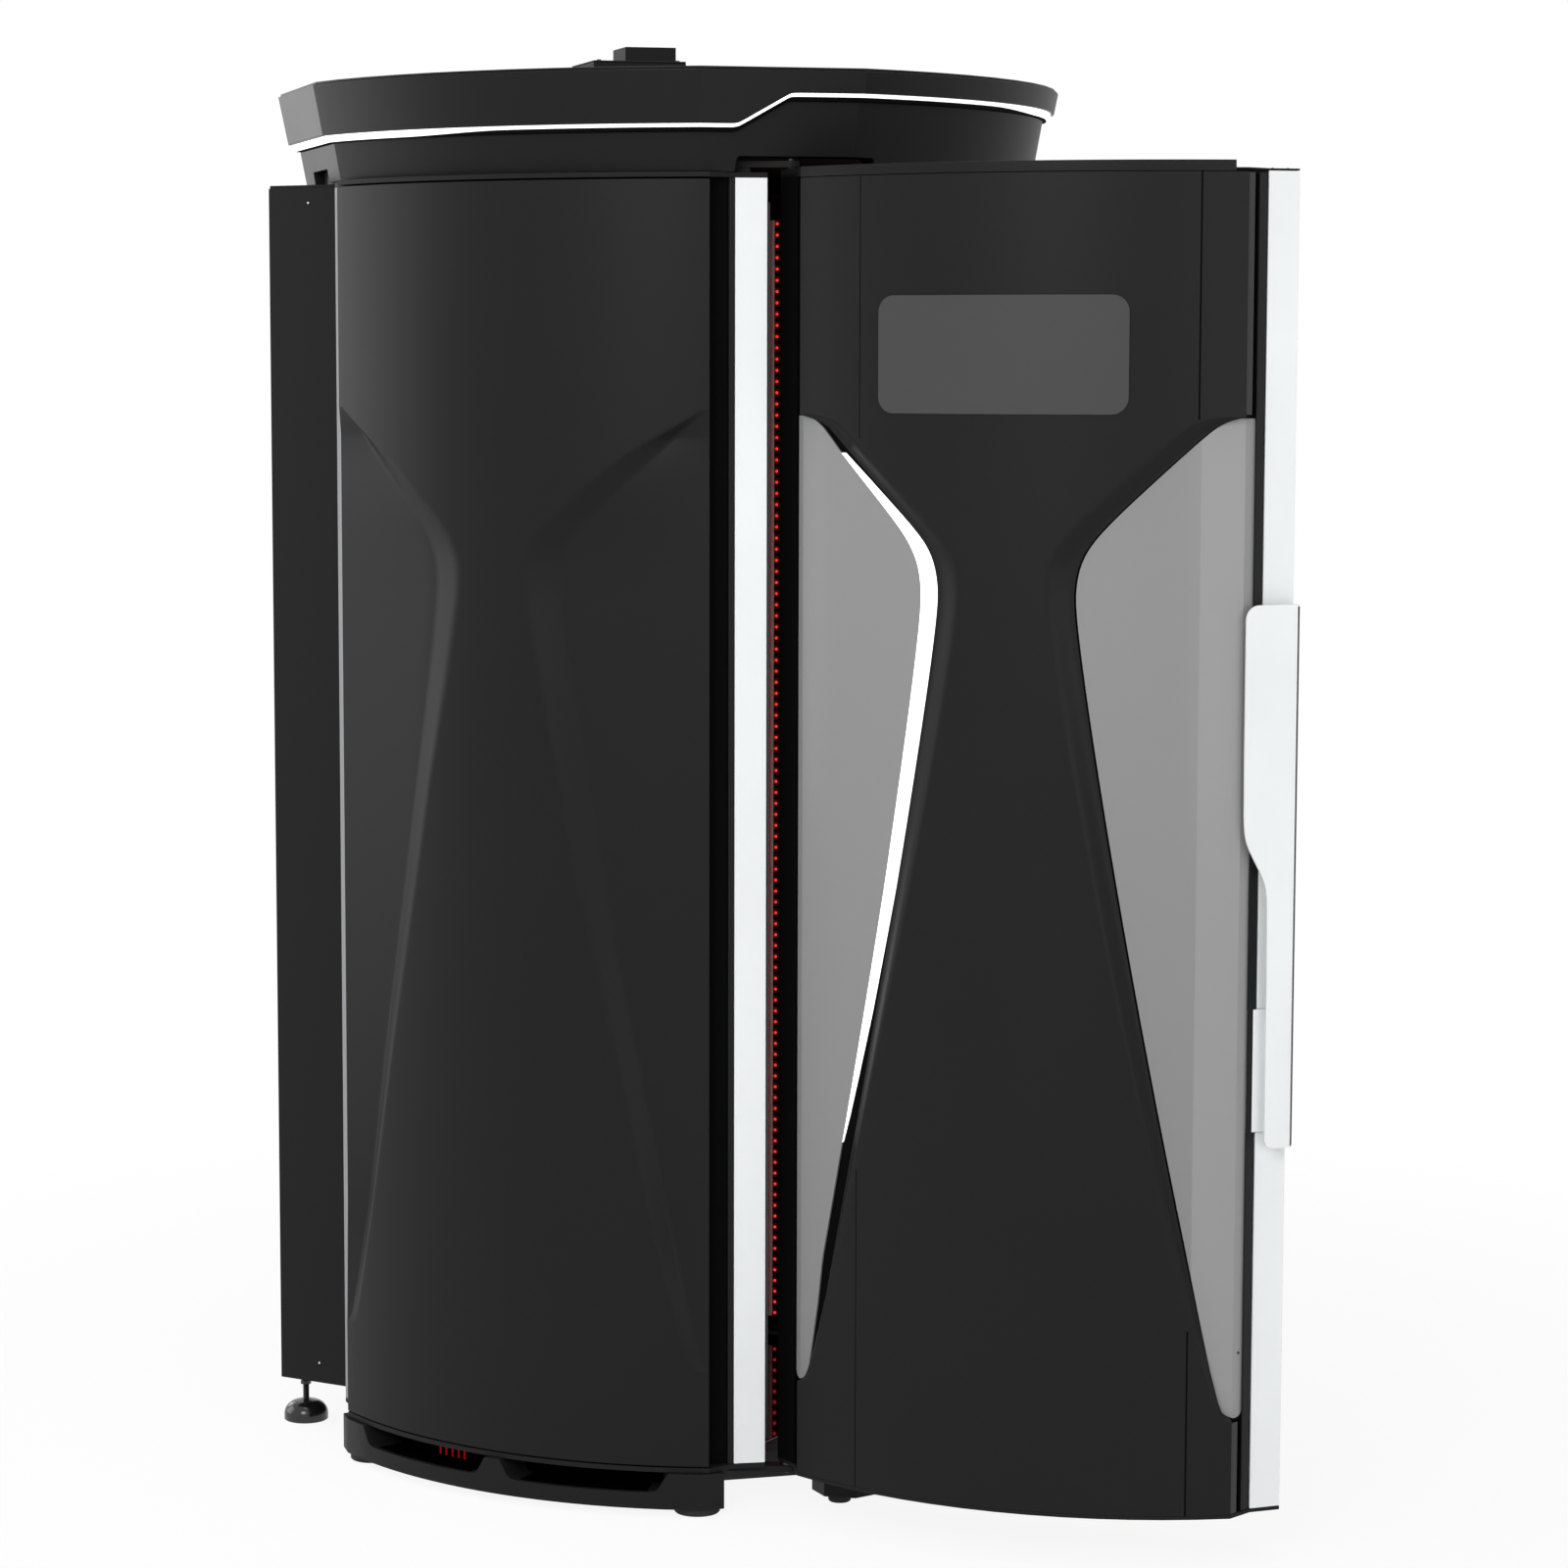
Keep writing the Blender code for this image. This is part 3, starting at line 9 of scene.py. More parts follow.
import bmesh
import bpy
import numpy as np
from bpy.props import FloatProperty, FloatVectorProperty, IntProperty, PointerProperty
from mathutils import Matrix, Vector

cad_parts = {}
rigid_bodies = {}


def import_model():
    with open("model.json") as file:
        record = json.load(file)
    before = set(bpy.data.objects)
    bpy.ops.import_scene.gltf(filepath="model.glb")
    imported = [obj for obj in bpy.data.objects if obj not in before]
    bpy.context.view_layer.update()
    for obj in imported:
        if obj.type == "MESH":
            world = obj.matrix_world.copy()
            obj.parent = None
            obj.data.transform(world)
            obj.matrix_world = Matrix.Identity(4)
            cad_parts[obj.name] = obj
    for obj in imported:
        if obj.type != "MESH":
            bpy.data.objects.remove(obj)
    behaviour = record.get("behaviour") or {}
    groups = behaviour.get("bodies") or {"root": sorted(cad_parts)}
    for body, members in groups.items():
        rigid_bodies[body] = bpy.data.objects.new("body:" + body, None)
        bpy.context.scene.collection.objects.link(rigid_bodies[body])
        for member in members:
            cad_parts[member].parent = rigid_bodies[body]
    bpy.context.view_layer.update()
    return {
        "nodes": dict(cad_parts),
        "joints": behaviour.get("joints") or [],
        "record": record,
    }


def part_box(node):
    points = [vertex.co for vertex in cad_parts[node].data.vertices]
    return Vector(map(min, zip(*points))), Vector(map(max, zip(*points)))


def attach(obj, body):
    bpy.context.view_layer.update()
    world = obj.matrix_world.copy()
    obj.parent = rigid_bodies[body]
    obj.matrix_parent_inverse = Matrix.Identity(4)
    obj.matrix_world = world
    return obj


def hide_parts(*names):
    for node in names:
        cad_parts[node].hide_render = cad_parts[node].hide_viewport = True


for leftover in list(bpy.data.objects):
    bpy.data.objects.remove(leftover, do_unlink=True)
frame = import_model()

bl_info = {
    "name": "Light Therapy Booth",
    "version": (1, 0, 0),
    "blender": (4, 5, 0),
    "location": "3D View > Sidebar > Booth",
    "description": "Builds the finished surfaces of a stand-up light therapy booth",
    "category": "Object",
}

# Curved sides
SKIN_RADIUS = 0.738
SKIN_CHORD = 0.705
SKIN_WALL = 0.005
SIDE_DISTANCE = 0.510
INNER_DISTANCE = 0.3755
RECESS_DEPTH = 0.016
RECESS_END_SHARE = 0.2
RIM_WIDE = 3.8
RIM_NARROW = 0.9
SKIN_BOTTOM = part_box("left_skin")[0].z
SKIN_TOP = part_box("left_skin")[1].z
SKIN_HEIGHT = SKIN_TOP - SKIN_BOTTOM
SKIN_CREASE = 50.0
RIM_COLUMNS = 15
HALF_ANGLE = math.degrees(math.asin(SKIN_CHORD / 2 / SKIN_RADIUS))
ARC_CENTRE = SIDE_DISTANCE - SKIN_RADIUS * math.cos(math.radians(HALF_ANGLE))
SEAMS = ((-18.9, 1.2), (23.0, 2.6))
SEAM_CLEAR = 0.4
SEAM_BREAK = 0.2
SEAM_PROUD = 0.0002
SEAM_DEPTH = 0.002

# Hourglass outline: degrees, and heights above the skin's lower edge
WAIST_ANGLE = 7.84
WAIST_TOP = 1.480
WAIST_TOP_ROUND = 0.043
WAIST_LOW = 1.416
WAIST_LOW_ROUND = 0.020
UPPER_SLOPE = 88.3
LOWER_SLOPE = 12.1
LOWER_BEND = 2.59
TOP_TIP = 1.679
BOTTOM_TIP = 0.1514
TIP_ROUND = 0.008
TOP_TIP_SLOPE = 300.0
BOTTOM_TIP_SLOPE = 200.0
WINDOW_TOP = 1.683
WINDOW_BOTTOM = 0.148
WINDOW_LEFT_END = HALF_ANGLE + 2.05
WINDOW_RIGHT_END = HALF_ANGLE + 1.70
# Angle where the windows' painted highlight band starts
WINDOW_SHEEN = 23.58
WINDOW_WALL = 0.005
WINDOW_GAP = 0.05
WINDOW_ROLL = 1.33
WINDOW_DROP = 0.006
WINDOW_CORNER = 0.013
WINDOW_LEAST = 0.5
WINDOW_TIP = 0.3
WINDOW_KNEE = 0.1
WINDOW_CREASE = 9.0
# Softness of the painted highlight band's edge
SHEEN_BLUR = 0.0006
LEFT_SPREAD_HEIGHTS = (0.120, 0.657)
LEFT_SPREADS = (0.40, 1.50)
LEFT_RIM_HEIGHTS = (0.120, 0.210, 0.400, 0.657, 1.096, 1.450, 1.520, 1.605, 1.640, 1.663, 1.680)
LEFT_RIMS = (1.60, 2.30, 3.00, 3.60, 4.30, 6.00, 5.70, 4.70, 3.40, 2.10, 1.20)
LEFT_FILLET = 0.25
LEFT_END = HALF_ANGLE - 0.3
LEFT_RIM_COLUMNS = 21
LEFT_FLOOR_COLUMNS = 14
LINE_HEIGHTS = (0.545, 0.588, 0.650, 0.759, 0.954, 1.416, 1.480, 1.592, 1.627)
LINE_WIDTHS = (0.02, 0.36, 0.67, 1.15, 1.60, 2.20, 2.20, 1.03, 0.58)
LINE_CROWN = 0.0009
GROOVE_HEIGHTS = (0.150, 0.184, 0.283, 0.349, 0.760, 0.954, 1.416, 1.480, 1.592, 1.627, 1.671, 1.683)
GROOVE_WIDTHS = (0.35, 0.70, 1.15, 1.65, 1.70, 1.75, 2.26, 2.26, 1.66, 1.50, 0.90, 0.55)
RIGHT_GROOVE = 0.20
RIGHT_GROOVE_RUN = 0.3
GROOVE_DEPTH = 0.003
GROOVE_WALL = 0.001
GROOVE_LAPS = (0.2, 0.5)
GROOVE_END = 1.0

# End strips, handle and its brackets
STRIP_U = SKIN_CHORD / 2 + 0.0203
STRIP_N = SIDE_DISTANCE - 0.0453
STRIP_WIDTH = 0.0514
STRIP_WALL = 0.005
STRIP_TILT = math.radians(39.8)
STRIP_LIP = 0.0100
STRIP_ROUND = 0.0016
STRIP_EDGE = 0.0008
STRIP_TRIM_GAP = 0.0006
STRIP_TRIM_WALL = 0.004
DOOR_MITRE = STRIP_N - STRIP_WIDTH * math.sin(STRIP_TILT) - STRIP_U - STRIP_WIDTH * math.cos(STRIP_TILT)
EDGE_RUN = (0.0203, -0.0453)
EDGE_TRIM = (0.02, 0.32)
EDGE_GAP = (0.32, 0.55)
EDGE_RAIL = (0.55, 0.92)
EDGE_WALL = 0.002
EDGE_SET = 0.0004
EDGE_GAP_DEPTH = 0.006
EDGE_INSET = 0.001
EDGE_BELOW = 0.004
EDGE_ABOVE = 0.006
EDGE_ROUND = 0.0005
LID_RISE = 0.0032
LID_WALL = 0.003
LID_LIP_END = 27.0
LID_LIP = 0.012
LID_TOP = SKIN_TOP + LID_RISE + LID_WALL
LID_LIP_PROUD = 0.0004
LID_LIP_SEAT = 0.001
LID_BLOCK = -0.22
LID_BLOCK_LAP = 0.0005
LID_BLOCK_DROP = 0.0003
CHASSIS_DROP = 0.007
CHASSIS_HEAD = 0.020
HINGE_ALONG = 0.038
HINGE_DEPTH = 0.010
HANDLE_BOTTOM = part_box("door_handle")[0].z
HANDLE_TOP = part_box("door_handle")[1].z
HANDLE_RIGHT = 0.0505
HANDLE_WIDE = 0.0908
HANDLE_NARROW = 0.048
HANDLE_STEP = HANDLE_BOTTOM + 0.408
HANDLE_TAPER = 0.066
HANDLE_WALL = 0.004
HANDLE_STANDOFF = 0.022
HANDLE_CORNER = 0.022
HANDLE_FOOT_CORNER = 0.014
HANDLE_FLANGE = 0.014
HANDLE_BEND = 0.0055
HANDLE_BLEND = 0.035
HANDLE_BLEND_GAP = 0.005
HANDLE_STEP_ROUND = 0.02
HANDLE_EDGE = 0.0006
# Painted shade: a dark band round part of the handle's bend, where it turns away from the light
HANDLE_SHADE = (8.0, 70.0)
HANDLE_SHADE_INSET = 0.003
HANDLE_SHADE_PROUD = 0.0002
HANDLE_SHADE_DEPTH = 0.0006
BRACKET_EDGE = HANDLE_RIGHT - HANDLE_WALL - 0.0003
BRACKET_LEG = 0.028
BRACKET_WING = 0.0467
BRACKET_WING_WALL = 0.0037
BRACKET_GROOVE = -0.0215
BRACKET_GROOVE_HALF = 0.0010
BRACKET_GROOVE_FLOOR = 0.0009
# Painted shade: a near-black block set in the lower bracket's groove
BRACKET_SHADE = (0.0010, 0.0019)
BRACKET_SHADE_INSET = 0.0006
BRACKET_SEAT = 0.0004
BRACKET_ROUND = 0.0005

# Bare panel on the door
PANEL_CENTRE = -0.65
PANEL_HALF = 15.45
PANEL_BOTTOM = 1.689
PANEL_HEIGHT = 0.179
PANEL_CORNER = 0.026
PANEL_WALL = 0.0024
PANEL_EDGE = 0.0008

# LED boards and rear cabinets
LED_HALF_WIDTH = 0.350
LED_JOINT_SHIFT = 0.0246
LED_JOINT_WIDTH = 0.0090
LED_BACK = INNER_DISTANCE - 0.0003
LED_WALL = 0.006
LED_EDGE = 0.0008
LED_COLUMNS = 20
LED_JOINT_PROUD = 0.0016
LED_JOINT_INSET = 0.004
JOINT_PROFILE = ((-1.0, 0.0), (-1.0, 0.5), (-0.6, 1.0), (0.6, 1.0), (1.0, 0.5), (1.0, 0.0))
LENS_PROFILE = ((0.0, 0.0024), (0.55, 0.0020), (0.9, 0.0010), (1.0, 0.0), (1.0, -0.0006), (0.0, -0.0006))
LED_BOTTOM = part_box("left_led_panel")[0].z
LED_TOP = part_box("left_led_panel")[1].z
CABINET_OUTER = 0.592
CABINET_FRONT = 0.3705
CABINET_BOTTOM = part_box("rear_left_cabinet")[0].z
CABINET_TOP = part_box("rear_left_cabinet")[1].z
LOUVRE_PITCH = 0.020
LOUVRE_COUNT = 10
LOUVRE_HALF = 0.150
LOUVRE_STARTS = (CABINET_BOTTOM + 0.200, CABINET_TOP - 0.380)
LOUVRE_HOOD = ((0.0, 0.0), (0.0036, -0.0080), (0.0026, -0.0086), (0.0, -0.0040))
LOUVRE_SLOT = ((0.0002, -0.0042), (0.0002, -0.0112), (-0.001, -0.0112), (-0.001, -0.0042))
INLET_FACE = CABINET_OUTER + 0.0203
INLET_WELL_HALF = 0.021
INLET_WELL_RISE = 0.015
INLET_WELL_DEPTH = 0.004
INLET_WELL_PROUD = 0.0003
INLET_WELL_ROUND = 0.0001
INLET_BLADES = ((-0.010, -0.004), (0.010, -0.004), (0.0, 0.005))
INLET_BLADE_HALF = 0.001
INLET_BLADE_RISE = 0.003
INLET_BLADE_DEPTH = 0.001
INLET_BLADE_PROUD = 0.0016

# Canopy
CANOPY_FACET = SIDE_DISTANCE * math.sqrt(2.0) - 0.07625
CANOPY_FRONT_HALF = 0.1335
CANOPY_SIDE_HALF = 0.0915
CANOPY_REAR_LAP = 0.0515
CANOPY_REAR = (CABINET_OUTER + CANOPY_REAR_LAP) * math.sqrt(2.0)
CANOPY_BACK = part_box("rear_post")[1].y + CANOPY_REAR_LAP
CANOPY_SAGITTA = 0.093
SKIRT_INSET = 0.046
SKIRT_FLARE = 0.18
SKIRT_INNER = 0.075
RING_INSET = 0.006
CAP_FLARE = 0.19
CAP_INNER = 0.060
LINE_RISE = 0.048
RISE_START = -0.070
RISE_END = 0.014
RISE_ROUND = 0.004
RISE_REACH = 0.02
NOTCH_START = -0.066
NOTCH_HEIGHT = 0.024
NOTCH_BLEND = 0.002
NOTCH_ROUND = 0.007
NOTCH_RUN = 0.050
SIDE_NOTCH_FRONT = 0.020
SIDE_NOTCH_BACK = 0.157
SIDE_NOTCH_HEIGHT = 0.0225
SIDE_NOTCH_DEPTH = 0.018
SKIRT_OVER_DOOR = 0.013
JAMB_STEP = 0.010
# Painted shade: a near-black sheet just under the roof of each notch in the skirt
NOTCH_SHADE_SHEET = (0.0010, 0.0004)
NOTCH_SHADE_SHEET_FRONT = 0.003
NOTCH_SHADE_SHEET_BACK = 0.001
LIGHT_FADE = (0.42, 0.14)
LIGHT_FADE_SHARE = 0.8
CHANNEL_DEPTH = 0.007
BAND_GAP = 0.0003
CAP_ROUND = 0.0018
CAP_BEND = (0.0006, 0.0005)
CAP_LIP_ROUND = 0.0010
CANOPY_CREASE = 14.0
SKIRT_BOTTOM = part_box("canopy_skirt")[0].z
RING_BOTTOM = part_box("canopy_light_ring")[0].z
CAP_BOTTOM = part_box("canopy_cap")[0].z
CAP_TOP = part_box("canopy_cap")[1].z

# Plinths
PLINTH_RADIUS = SKIN_RADIUS + 0.008
PLINTH_END = HALF_ANGLE - 1.03
PLINTH_FACET = 0.040 * math.sqrt(0.5)
PLINTH_NECK = 0.0465 * math.sqrt(0.5)
PLINTH_BACK = INNER_DISTANCE + 0.0648
PLINTH_BACK_HALF = SKIN_CHORD / 2 - 0.0275
PLINTH_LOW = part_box("left_plinth")[0].z
PLINTH_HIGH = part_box("left_plinth")[1].z
PLINTH_EDGE = 0.0026
HINGE_END = 26.8
HINGE_CORNER = (0.352, 0.478)
SLOT_DEPTH = 0.060
SLOT_FLOOR = 0.040
SLOT_START = 1.1
SLOT_STOP = PLINTH_END - 4.1
SLOT_LEAN = 1.35
SLOT_ROUND = 0.35
SLOT_ENDS = (0.0, 0.5, 0.72, 0.86, 1.0, 1.2, 1.5)
SLOT_MIDDLE = 2.6
# Painted shade: near-black sheets on the floor and back wall inside the plinth slots
SHADE_SHEET_INSET = 1.1
SHADE_SHEET_FRONT = 0.008
SHADE_SHEET_BACKS = (SLOT_DEPTH - 0.0008, SLOT_DEPTH - 0.0003)
SHADE_SHEET_LIFTS = (0.0006, 0.0002)
SHADE_SHEET_DROP = 0.0005
# Painted light: glowing bars for red light from the LED boards seen inside the slots; no lamp is there
VENT_BARS = (-12.57, -11.43, -10.20, -9.06, -7.98)
VENT_BAR_HALF = 0.13
VENT_BAR_DEPTHS = (SLOT_DEPTH - 0.0022, SLOT_DEPTH - 0.0010)
VENT_BAR_SPAN = (0.001, 0.0148)

# Levelling feet and pads
FOOT_BEVEL = 0.0015
FOOT_RIM = 0.010
FOOT_DOME = 0.024
FOOT_NECK = 0.013
FOOT_CROWN = ((0.0085, 0.0355), (0.0, 0.0355))
STUD_RADIUS = 0.0055
STUD_START = 0.0345
STUD_SPARE = 0.0005
THREAD_STEP = 0.00075
THREAD_DEPTH = 0.0006
NUT_PROFILE = ((0.0, 0.0620), (0.0085, 0.0620), (0.0092, 0.0626), (0.0092, 0.0684), (0.0085, 0.0690),
               (0.0, 0.0690))
PAD_SHARES = {"left_plinth_foot_near": 1.0, "left_plinth_foot_far": 1.0, "right_plinth_foot_near": 0.5,
              "right_plinth_foot_far": 1.0}
PAD_BEVELS = (0.002, 0.001)

# Exhaust fan and its guard
HUB_RADIUS = 0.018
HUB_BEVELS = (0.001, 0.002)
BLADES = 5
BLADE_ROOT = 0.002
BLADE_GAP = 0.0005
BLADE_SPAN = 46.0
BLADE_GROWTH = 8.0
BLADE_WALL = 0.0012
BLADE_PITCH = 1.6
BLADE_TWIST = 0.25
GUARD_DROP = 0.0022
GUARD_RADII = (0.018, 0.032, 0.046, 0.060, 0.068)
GUARD_WIRE = 0.0016
GUARD_BAR = (0.016, 0.0695)
GUARD_BAR_HALF = 0.0018

# Screws
SCREW_PROFILE = ((0.0, 0.16), (0.40, 0.16), (0.44, 0.52), (0.52, 0.56), (0.74, 0.48), (0.92, 0.28),
                 (1.0, 0.06), (1.0, -0.05), (0.0, -0.05))
SMALL_SCREW = 0.55
SCREW_INSET = 0.030
SCREW_HALF = 0.335
SCREW_ROWS = 9
PLATE_SCREW_OUT = 0.510
PLATE_SCREW_LOW = 0.035
CENTRE_SCREWS = (-0.2, 0.2, 4)
HOUSING_SCREW_INSET = 0.012
HOUSING_SCREW_LIFT = 0.003
BRACKET_SCREW = (-0.0255, 0.779)
WINDOW_SCREW = (29.67, 0.333)
WINDOW_SCREW_DEPTH = RECESS_DEPTH + 0.0034
LID_SCREWS = (0.012, 0.038)
LID_SCREW_INSET = 0.014

# Lamps of the stage: name, place, width in metres and power in watts
LAMPS = (("key_lamp", (-3.4, -5.6, 4.0), 2.6, 162.0), ("fill_lamp", (1.6, -7.2, 1.9), 3.0, 68.0),
         ("top_lamp", (0.0, -0.6, 5.4), 3.0, 70.0), ("rim_lamp", (-2.6, 5.4, 2.6), 2.2, 40.0),
         ("side_lamp", (-5.4, 2.6, 2.4), 4.0, 116.0))
LAMP_AIM = (0.1, -0.2, 1.1)
SENSOR_WIDTH = 36.0
FLOOR_REACH = 30.0
FLOOR_FADE = (1.5, 3.2)
FLOOR_WHITE = 0.90

# Mesh finish
MERGE = 0.00001
CREASE = 38.0
FLAT_ANGLE = 0.6
MOST_CUT = 0.48
EDGE_STEPS = 2

ROW_STOPS = (0.0, 0.13, 0.19, 1.36, 1.58, 1.66, 1.71, SKIN_HEIGHT)
ROW_COUNTS = (8, 26, 70, 46, 16, 30, 12)

BODY_OF = {node: body for body, nodes in frame["record"]["behaviour"]["bodies"].items() for node in nodes}


def ramp(value, size):
    """Zero below nought, straight above, with a rounded bend: half the sum of a value and its soft size."""
    return 0.5 * (value + np.sqrt(value * value + size * size))


def smooth(share):
    """An S-shaped step: three squares less two cubes of a share held between 0 and 1."""
    held = np.clip(share, 0.0, 1.0)
    return held * held * (3.0 - 2.0 * held)


def hourglass(height, tip=TOP_TIP_SLOPE):
    """Half angle of the hourglass: a waist, a steep bend above, a slow one below and a tip at both ends."""
    low = ramp(WAIST_LOW - height, WAIST_LOW_ROUND)
    angle = WAIST_ANGLE + UPPER_SLOPE * ramp(height - WAIST_TOP, WAIST_TOP_ROUND)
    angle = angle + LOWER_SLOPE * low + LOWER_BEND * low * low
    angle = angle + tip * ramp(height - TOP_TIP, TIP_ROUND)
    angle = angle + BOTTOM_TIP_SLOPE * ramp(BOTTOM_TIP - height, TIP_ROUND)
    return np.minimum(angle, HALF_ANGLE)


def rim(height):
    """Width of the sloped rim: it grows evenly from the lower tip to the waist and stays wide above."""
    share = np.clip((height - WINDOW_BOTTOM) / (WAIST_TOP - WINDOW_BOTTOM), 0.0, 1.0)
    return RIM_NARROW + (RIM_WIDE - RIM_NARROW) * share


def recess(height):
    """Depth of the recess: full beside the hourglass, and dying out where it reaches the ends."""
    return RECESS_DEPTH * np.clip((HALF_ANGLE - hourglass(height)) / RIM_WIDE, 0.0, 1.0)


def eased(share):
    """A straight slope with rounded ends: the run of a slope that rises evenly, stays and falls evenly."""
    def run(value):
        bend = np.maximum(value, 0.0) ** 2 / (2 * LEFT_FILLET)
        return np.where(value < LEFT_FILLET, bend, value - LEFT_FILLET / 2)

    return (run(share) - run(share - 1.0 + LEFT_FILLET)) / (1.0 - LEFT_FILLET)


def line_width(height):
    """Width of the light line: set widths at set heights, joined by straight lines."""
    return np.interp(height, LINE_HEIGHTS, LINE_WIDTHS)


def groove_width(height):
    """Width of the groove beside the left window: set widths at set heights, joined by straight lines."""
    return np.interp(height, GROOVE_HEIGHTS, GROOVE_WIDTHS)


def skin_rows(low, high):
    """Heights between two ends, close together at the tips and the waist."""
    runs = zip(ROW_STOPS[:-1], ROW_STOPS[1:], ROW_COUNTS)
    rows = [np.linspace(start, stop, count, endpoint=False) for start, stop, count in runs]
    rows = np.concatenate(rows + [[low, high]])
    return np.unique(rows[(rows >= low) & (rows <= high)])


def arc(radius, degrees):
    """Plan point on a curved side: radius times sine along it, and times cosine out from the arc's middle."""
    turn = np.radians(degrees)
    return radius * np.sin(turn), ARC_CENTRE + radius * np.cos(turn)


def strip_point(side, along, depth):
    """Plan point on an end strip: along it from its inner edge, and behind its face."""
    u = STRIP_U + along * math.cos(STRIP_TILT) - depth * math.sin(STRIP_TILT)
    n = STRIP_N - along * math.sin(STRIP_TILT) - depth * math.cos(STRIP_TILT)
    return side * u, n


def strip_outline(side, points):
    """Plan outline from points along an end strip and behind its face."""
    along, depth = np.asarray(points, float).T
    return np.stack(strip_point(side, along, depth), axis=-1)


def rectangle(left, right, near, far):
    """Four corners in plan between two distances along and two distances out."""
    return [(left, near), (right, near), (right, far), (left, far)]


class Side:
    """A plan frame, turned about +Z; a hinged one is also moved from its pivot to its place."""

    def __init__(self, degrees, pivot=(0.0, 0.0), place=(0.0, 0.0)):
        self.degrees = degrees
        self.pivot = pivot
        self.place = place

    def at(self, u, n, z):
        """World points: u and -n from the pivot, turned about +Z, then set at the place."""
        c, s = math.cos(math.radians(self.degrees)), math.sin(math.radians(self.degrees))
        x = np.asarray(u) - self.pivot[0]
        y = self.pivot[1] - np.asarray(n)
        parts = np.broadcast_arrays(self.place[0] + x * c - y * s, self.place[1] + x * s + y * c, z)
        return np.stack(parts, axis=-1).astype(float)

    def way(self, u, n, z=0.0):
        """A direction turned the same way, without the move."""
        c, s = math.cos(math.radians(self.degrees)), math.sin(math.radians(self.degrees))
        return np.array([u * c + n * s, u * s - n * c, z])


HINGE = next(joint for joint in frame["joints"] if joint["name"] == "door_hinge")
LEFT = Side(-45.0)
RIGHT = Side(45.0)
REAR_LEFT = Side(-135.0)
REAR_RIGHT = Side(135.0)
DOOR = Side(45.0 - HINGE["range_deg"][1], strip_point(-1, HINGE_ALONG, HINGE_DEPTH), HINGE["pos_m"][:2])


def grid_faces(rows, columns, round_rows=False, round_columns=False):
    """Four-sided faces between the points of a grid, closed round a direction where that is asked."""
    r = np.arange(rows if round_rows else rows - 1)[:, None]
    c = np.arange(columns if round_columns else columns - 1)[None, :]
    below, beside = (r + 1) % rows, (c + 1) % columns
    corners = (r * columns + c, r * columns + beside, below * columns + beside, below * columns + c)
    return np.stack(corners, axis=-1).reshape(-1, 4)


def sheet(outer, inner):
    """A closed sheet: a grid, a second grid behind it, and the rim that joins their edges."""
    rows, columns = outer.shape[:2]
    loop = np.concatenate([outer, inner[:, ::-1]], axis=1)
    walls = grid_faces(rows, 2 * columns, round_columns=True)
    near = np.arange(columns - 1)
    cap = np.stack([near, near + 1, 2 * columns - 2 - near, 2 * columns - 1 - near], axis=-1)
    return loop, np.concatenate([walls, cap, cap + (rows - 1) * 2 * columns])


def prism(outline, low, high, side):
    """An upright solid: a plan outline at two heights, joined by walls and closed by two flat faces."""
    u, n = np.asarray(outline, float).T
    count = len(u)
    points = np.concatenate([side.at(u, n, low), side.at(u, n, high)])
    walls = grid_faces(2, count, round_columns=True).tolist()
    return points, walls + [list(range(count)), list(range(count, 2 * count))]


def turned(profile, sides):
    """A shape turned about +Z: radius and height of a profile, carried round a circle."""
    radius, height = np.asarray(profile, float).T
    turn = np.linspace(0.0, 2 * math.pi, sides, endpoint=False)
    parts = (radius[:, None] * np.cos(turn), radius[:, None] * np.sin(turn), height[:, None])
    points = np.stack(np.broadcast_arrays(*parts), axis=-1)
    return points.reshape(-1, 3), grid_faces(len(radius), sides, round_columns=True)


def rounded(outline, radius, steps=6):
    """An outline with bent corners: each is cut back and bridged by a curve tangent to both its edges."""
    corner = np.asarray(outline, float)
    radius = np.broadcast_to(np.asarray(radius, float), len(corner))[:, None]
    before, after = np.roll(corner, 1, 0) - corner, np.roll(corner, -1, 0) - corner
    first, last = np.linalg.norm(before, axis=1, keepdims=True), np.linalg.norm(after, axis=1, keepdims=True)
    cut = np.minimum(radius, MOST_CUT * np.minimum(first, last))
    a, b = corner + before / first * cut, corner + after / last * cut
    t = np.linspace(0.0, 1.0, steps + 1)[None, :, None]
    curve = (1 - t) ** 2 * a[:, None] + 2 * t * (1 - t) * corner[:, None] + t ** 2 * b[:, None]
    return curve.reshape(-1, 2)


def copies(points, faces, spots, ways):
    """One small shape at many spots: its +Z is turned to each way, and its own axes follow."""
    spots = np.asarray(spots, float).reshape(-1, 3)
    ways = np.broadcast_to(np.asarray(ways, float), spots.shape)
    ways = ways / np.linalg.norm(ways, axis=1, keepdims=True)
    helper = np.where(np.abs(ways[:, 2:]) < 0.9, [[0.0, 0.0, 1.0]], [[1.0, 0.0, 0.0]])
    across = np.cross(helper, ways)
    across /= np.linalg.norm(across, axis=1, keepdims=True)
    up = np.cross(ways, across)
    placed = points[None, :, :1] * across[:, None] + points[None, :, 1:2] * up[:, None]
    placed = spots[:, None] + placed + points[None, :, 2:] * ways[:, None]
    shift = np.arange(len(spots))[:, None, None] * len(points)
    return placed.reshape(-1, 3), (faces[None] + shift).reshape(-1, faces.shape[1])


def side_by_side(*parts):
    """Columns side by side: the first part has all the rows, and the others are stretched over them."""
    count = len(parts[0])
    return np.concatenate([np.broadcast_to(part, (count, np.shape(part)[1])) for part in parts], axis=1)


def moved(shape, place):
    """A shape moved to a place."""
    points, faces = shape
    return points.reshape(-1, 3) + place, faces


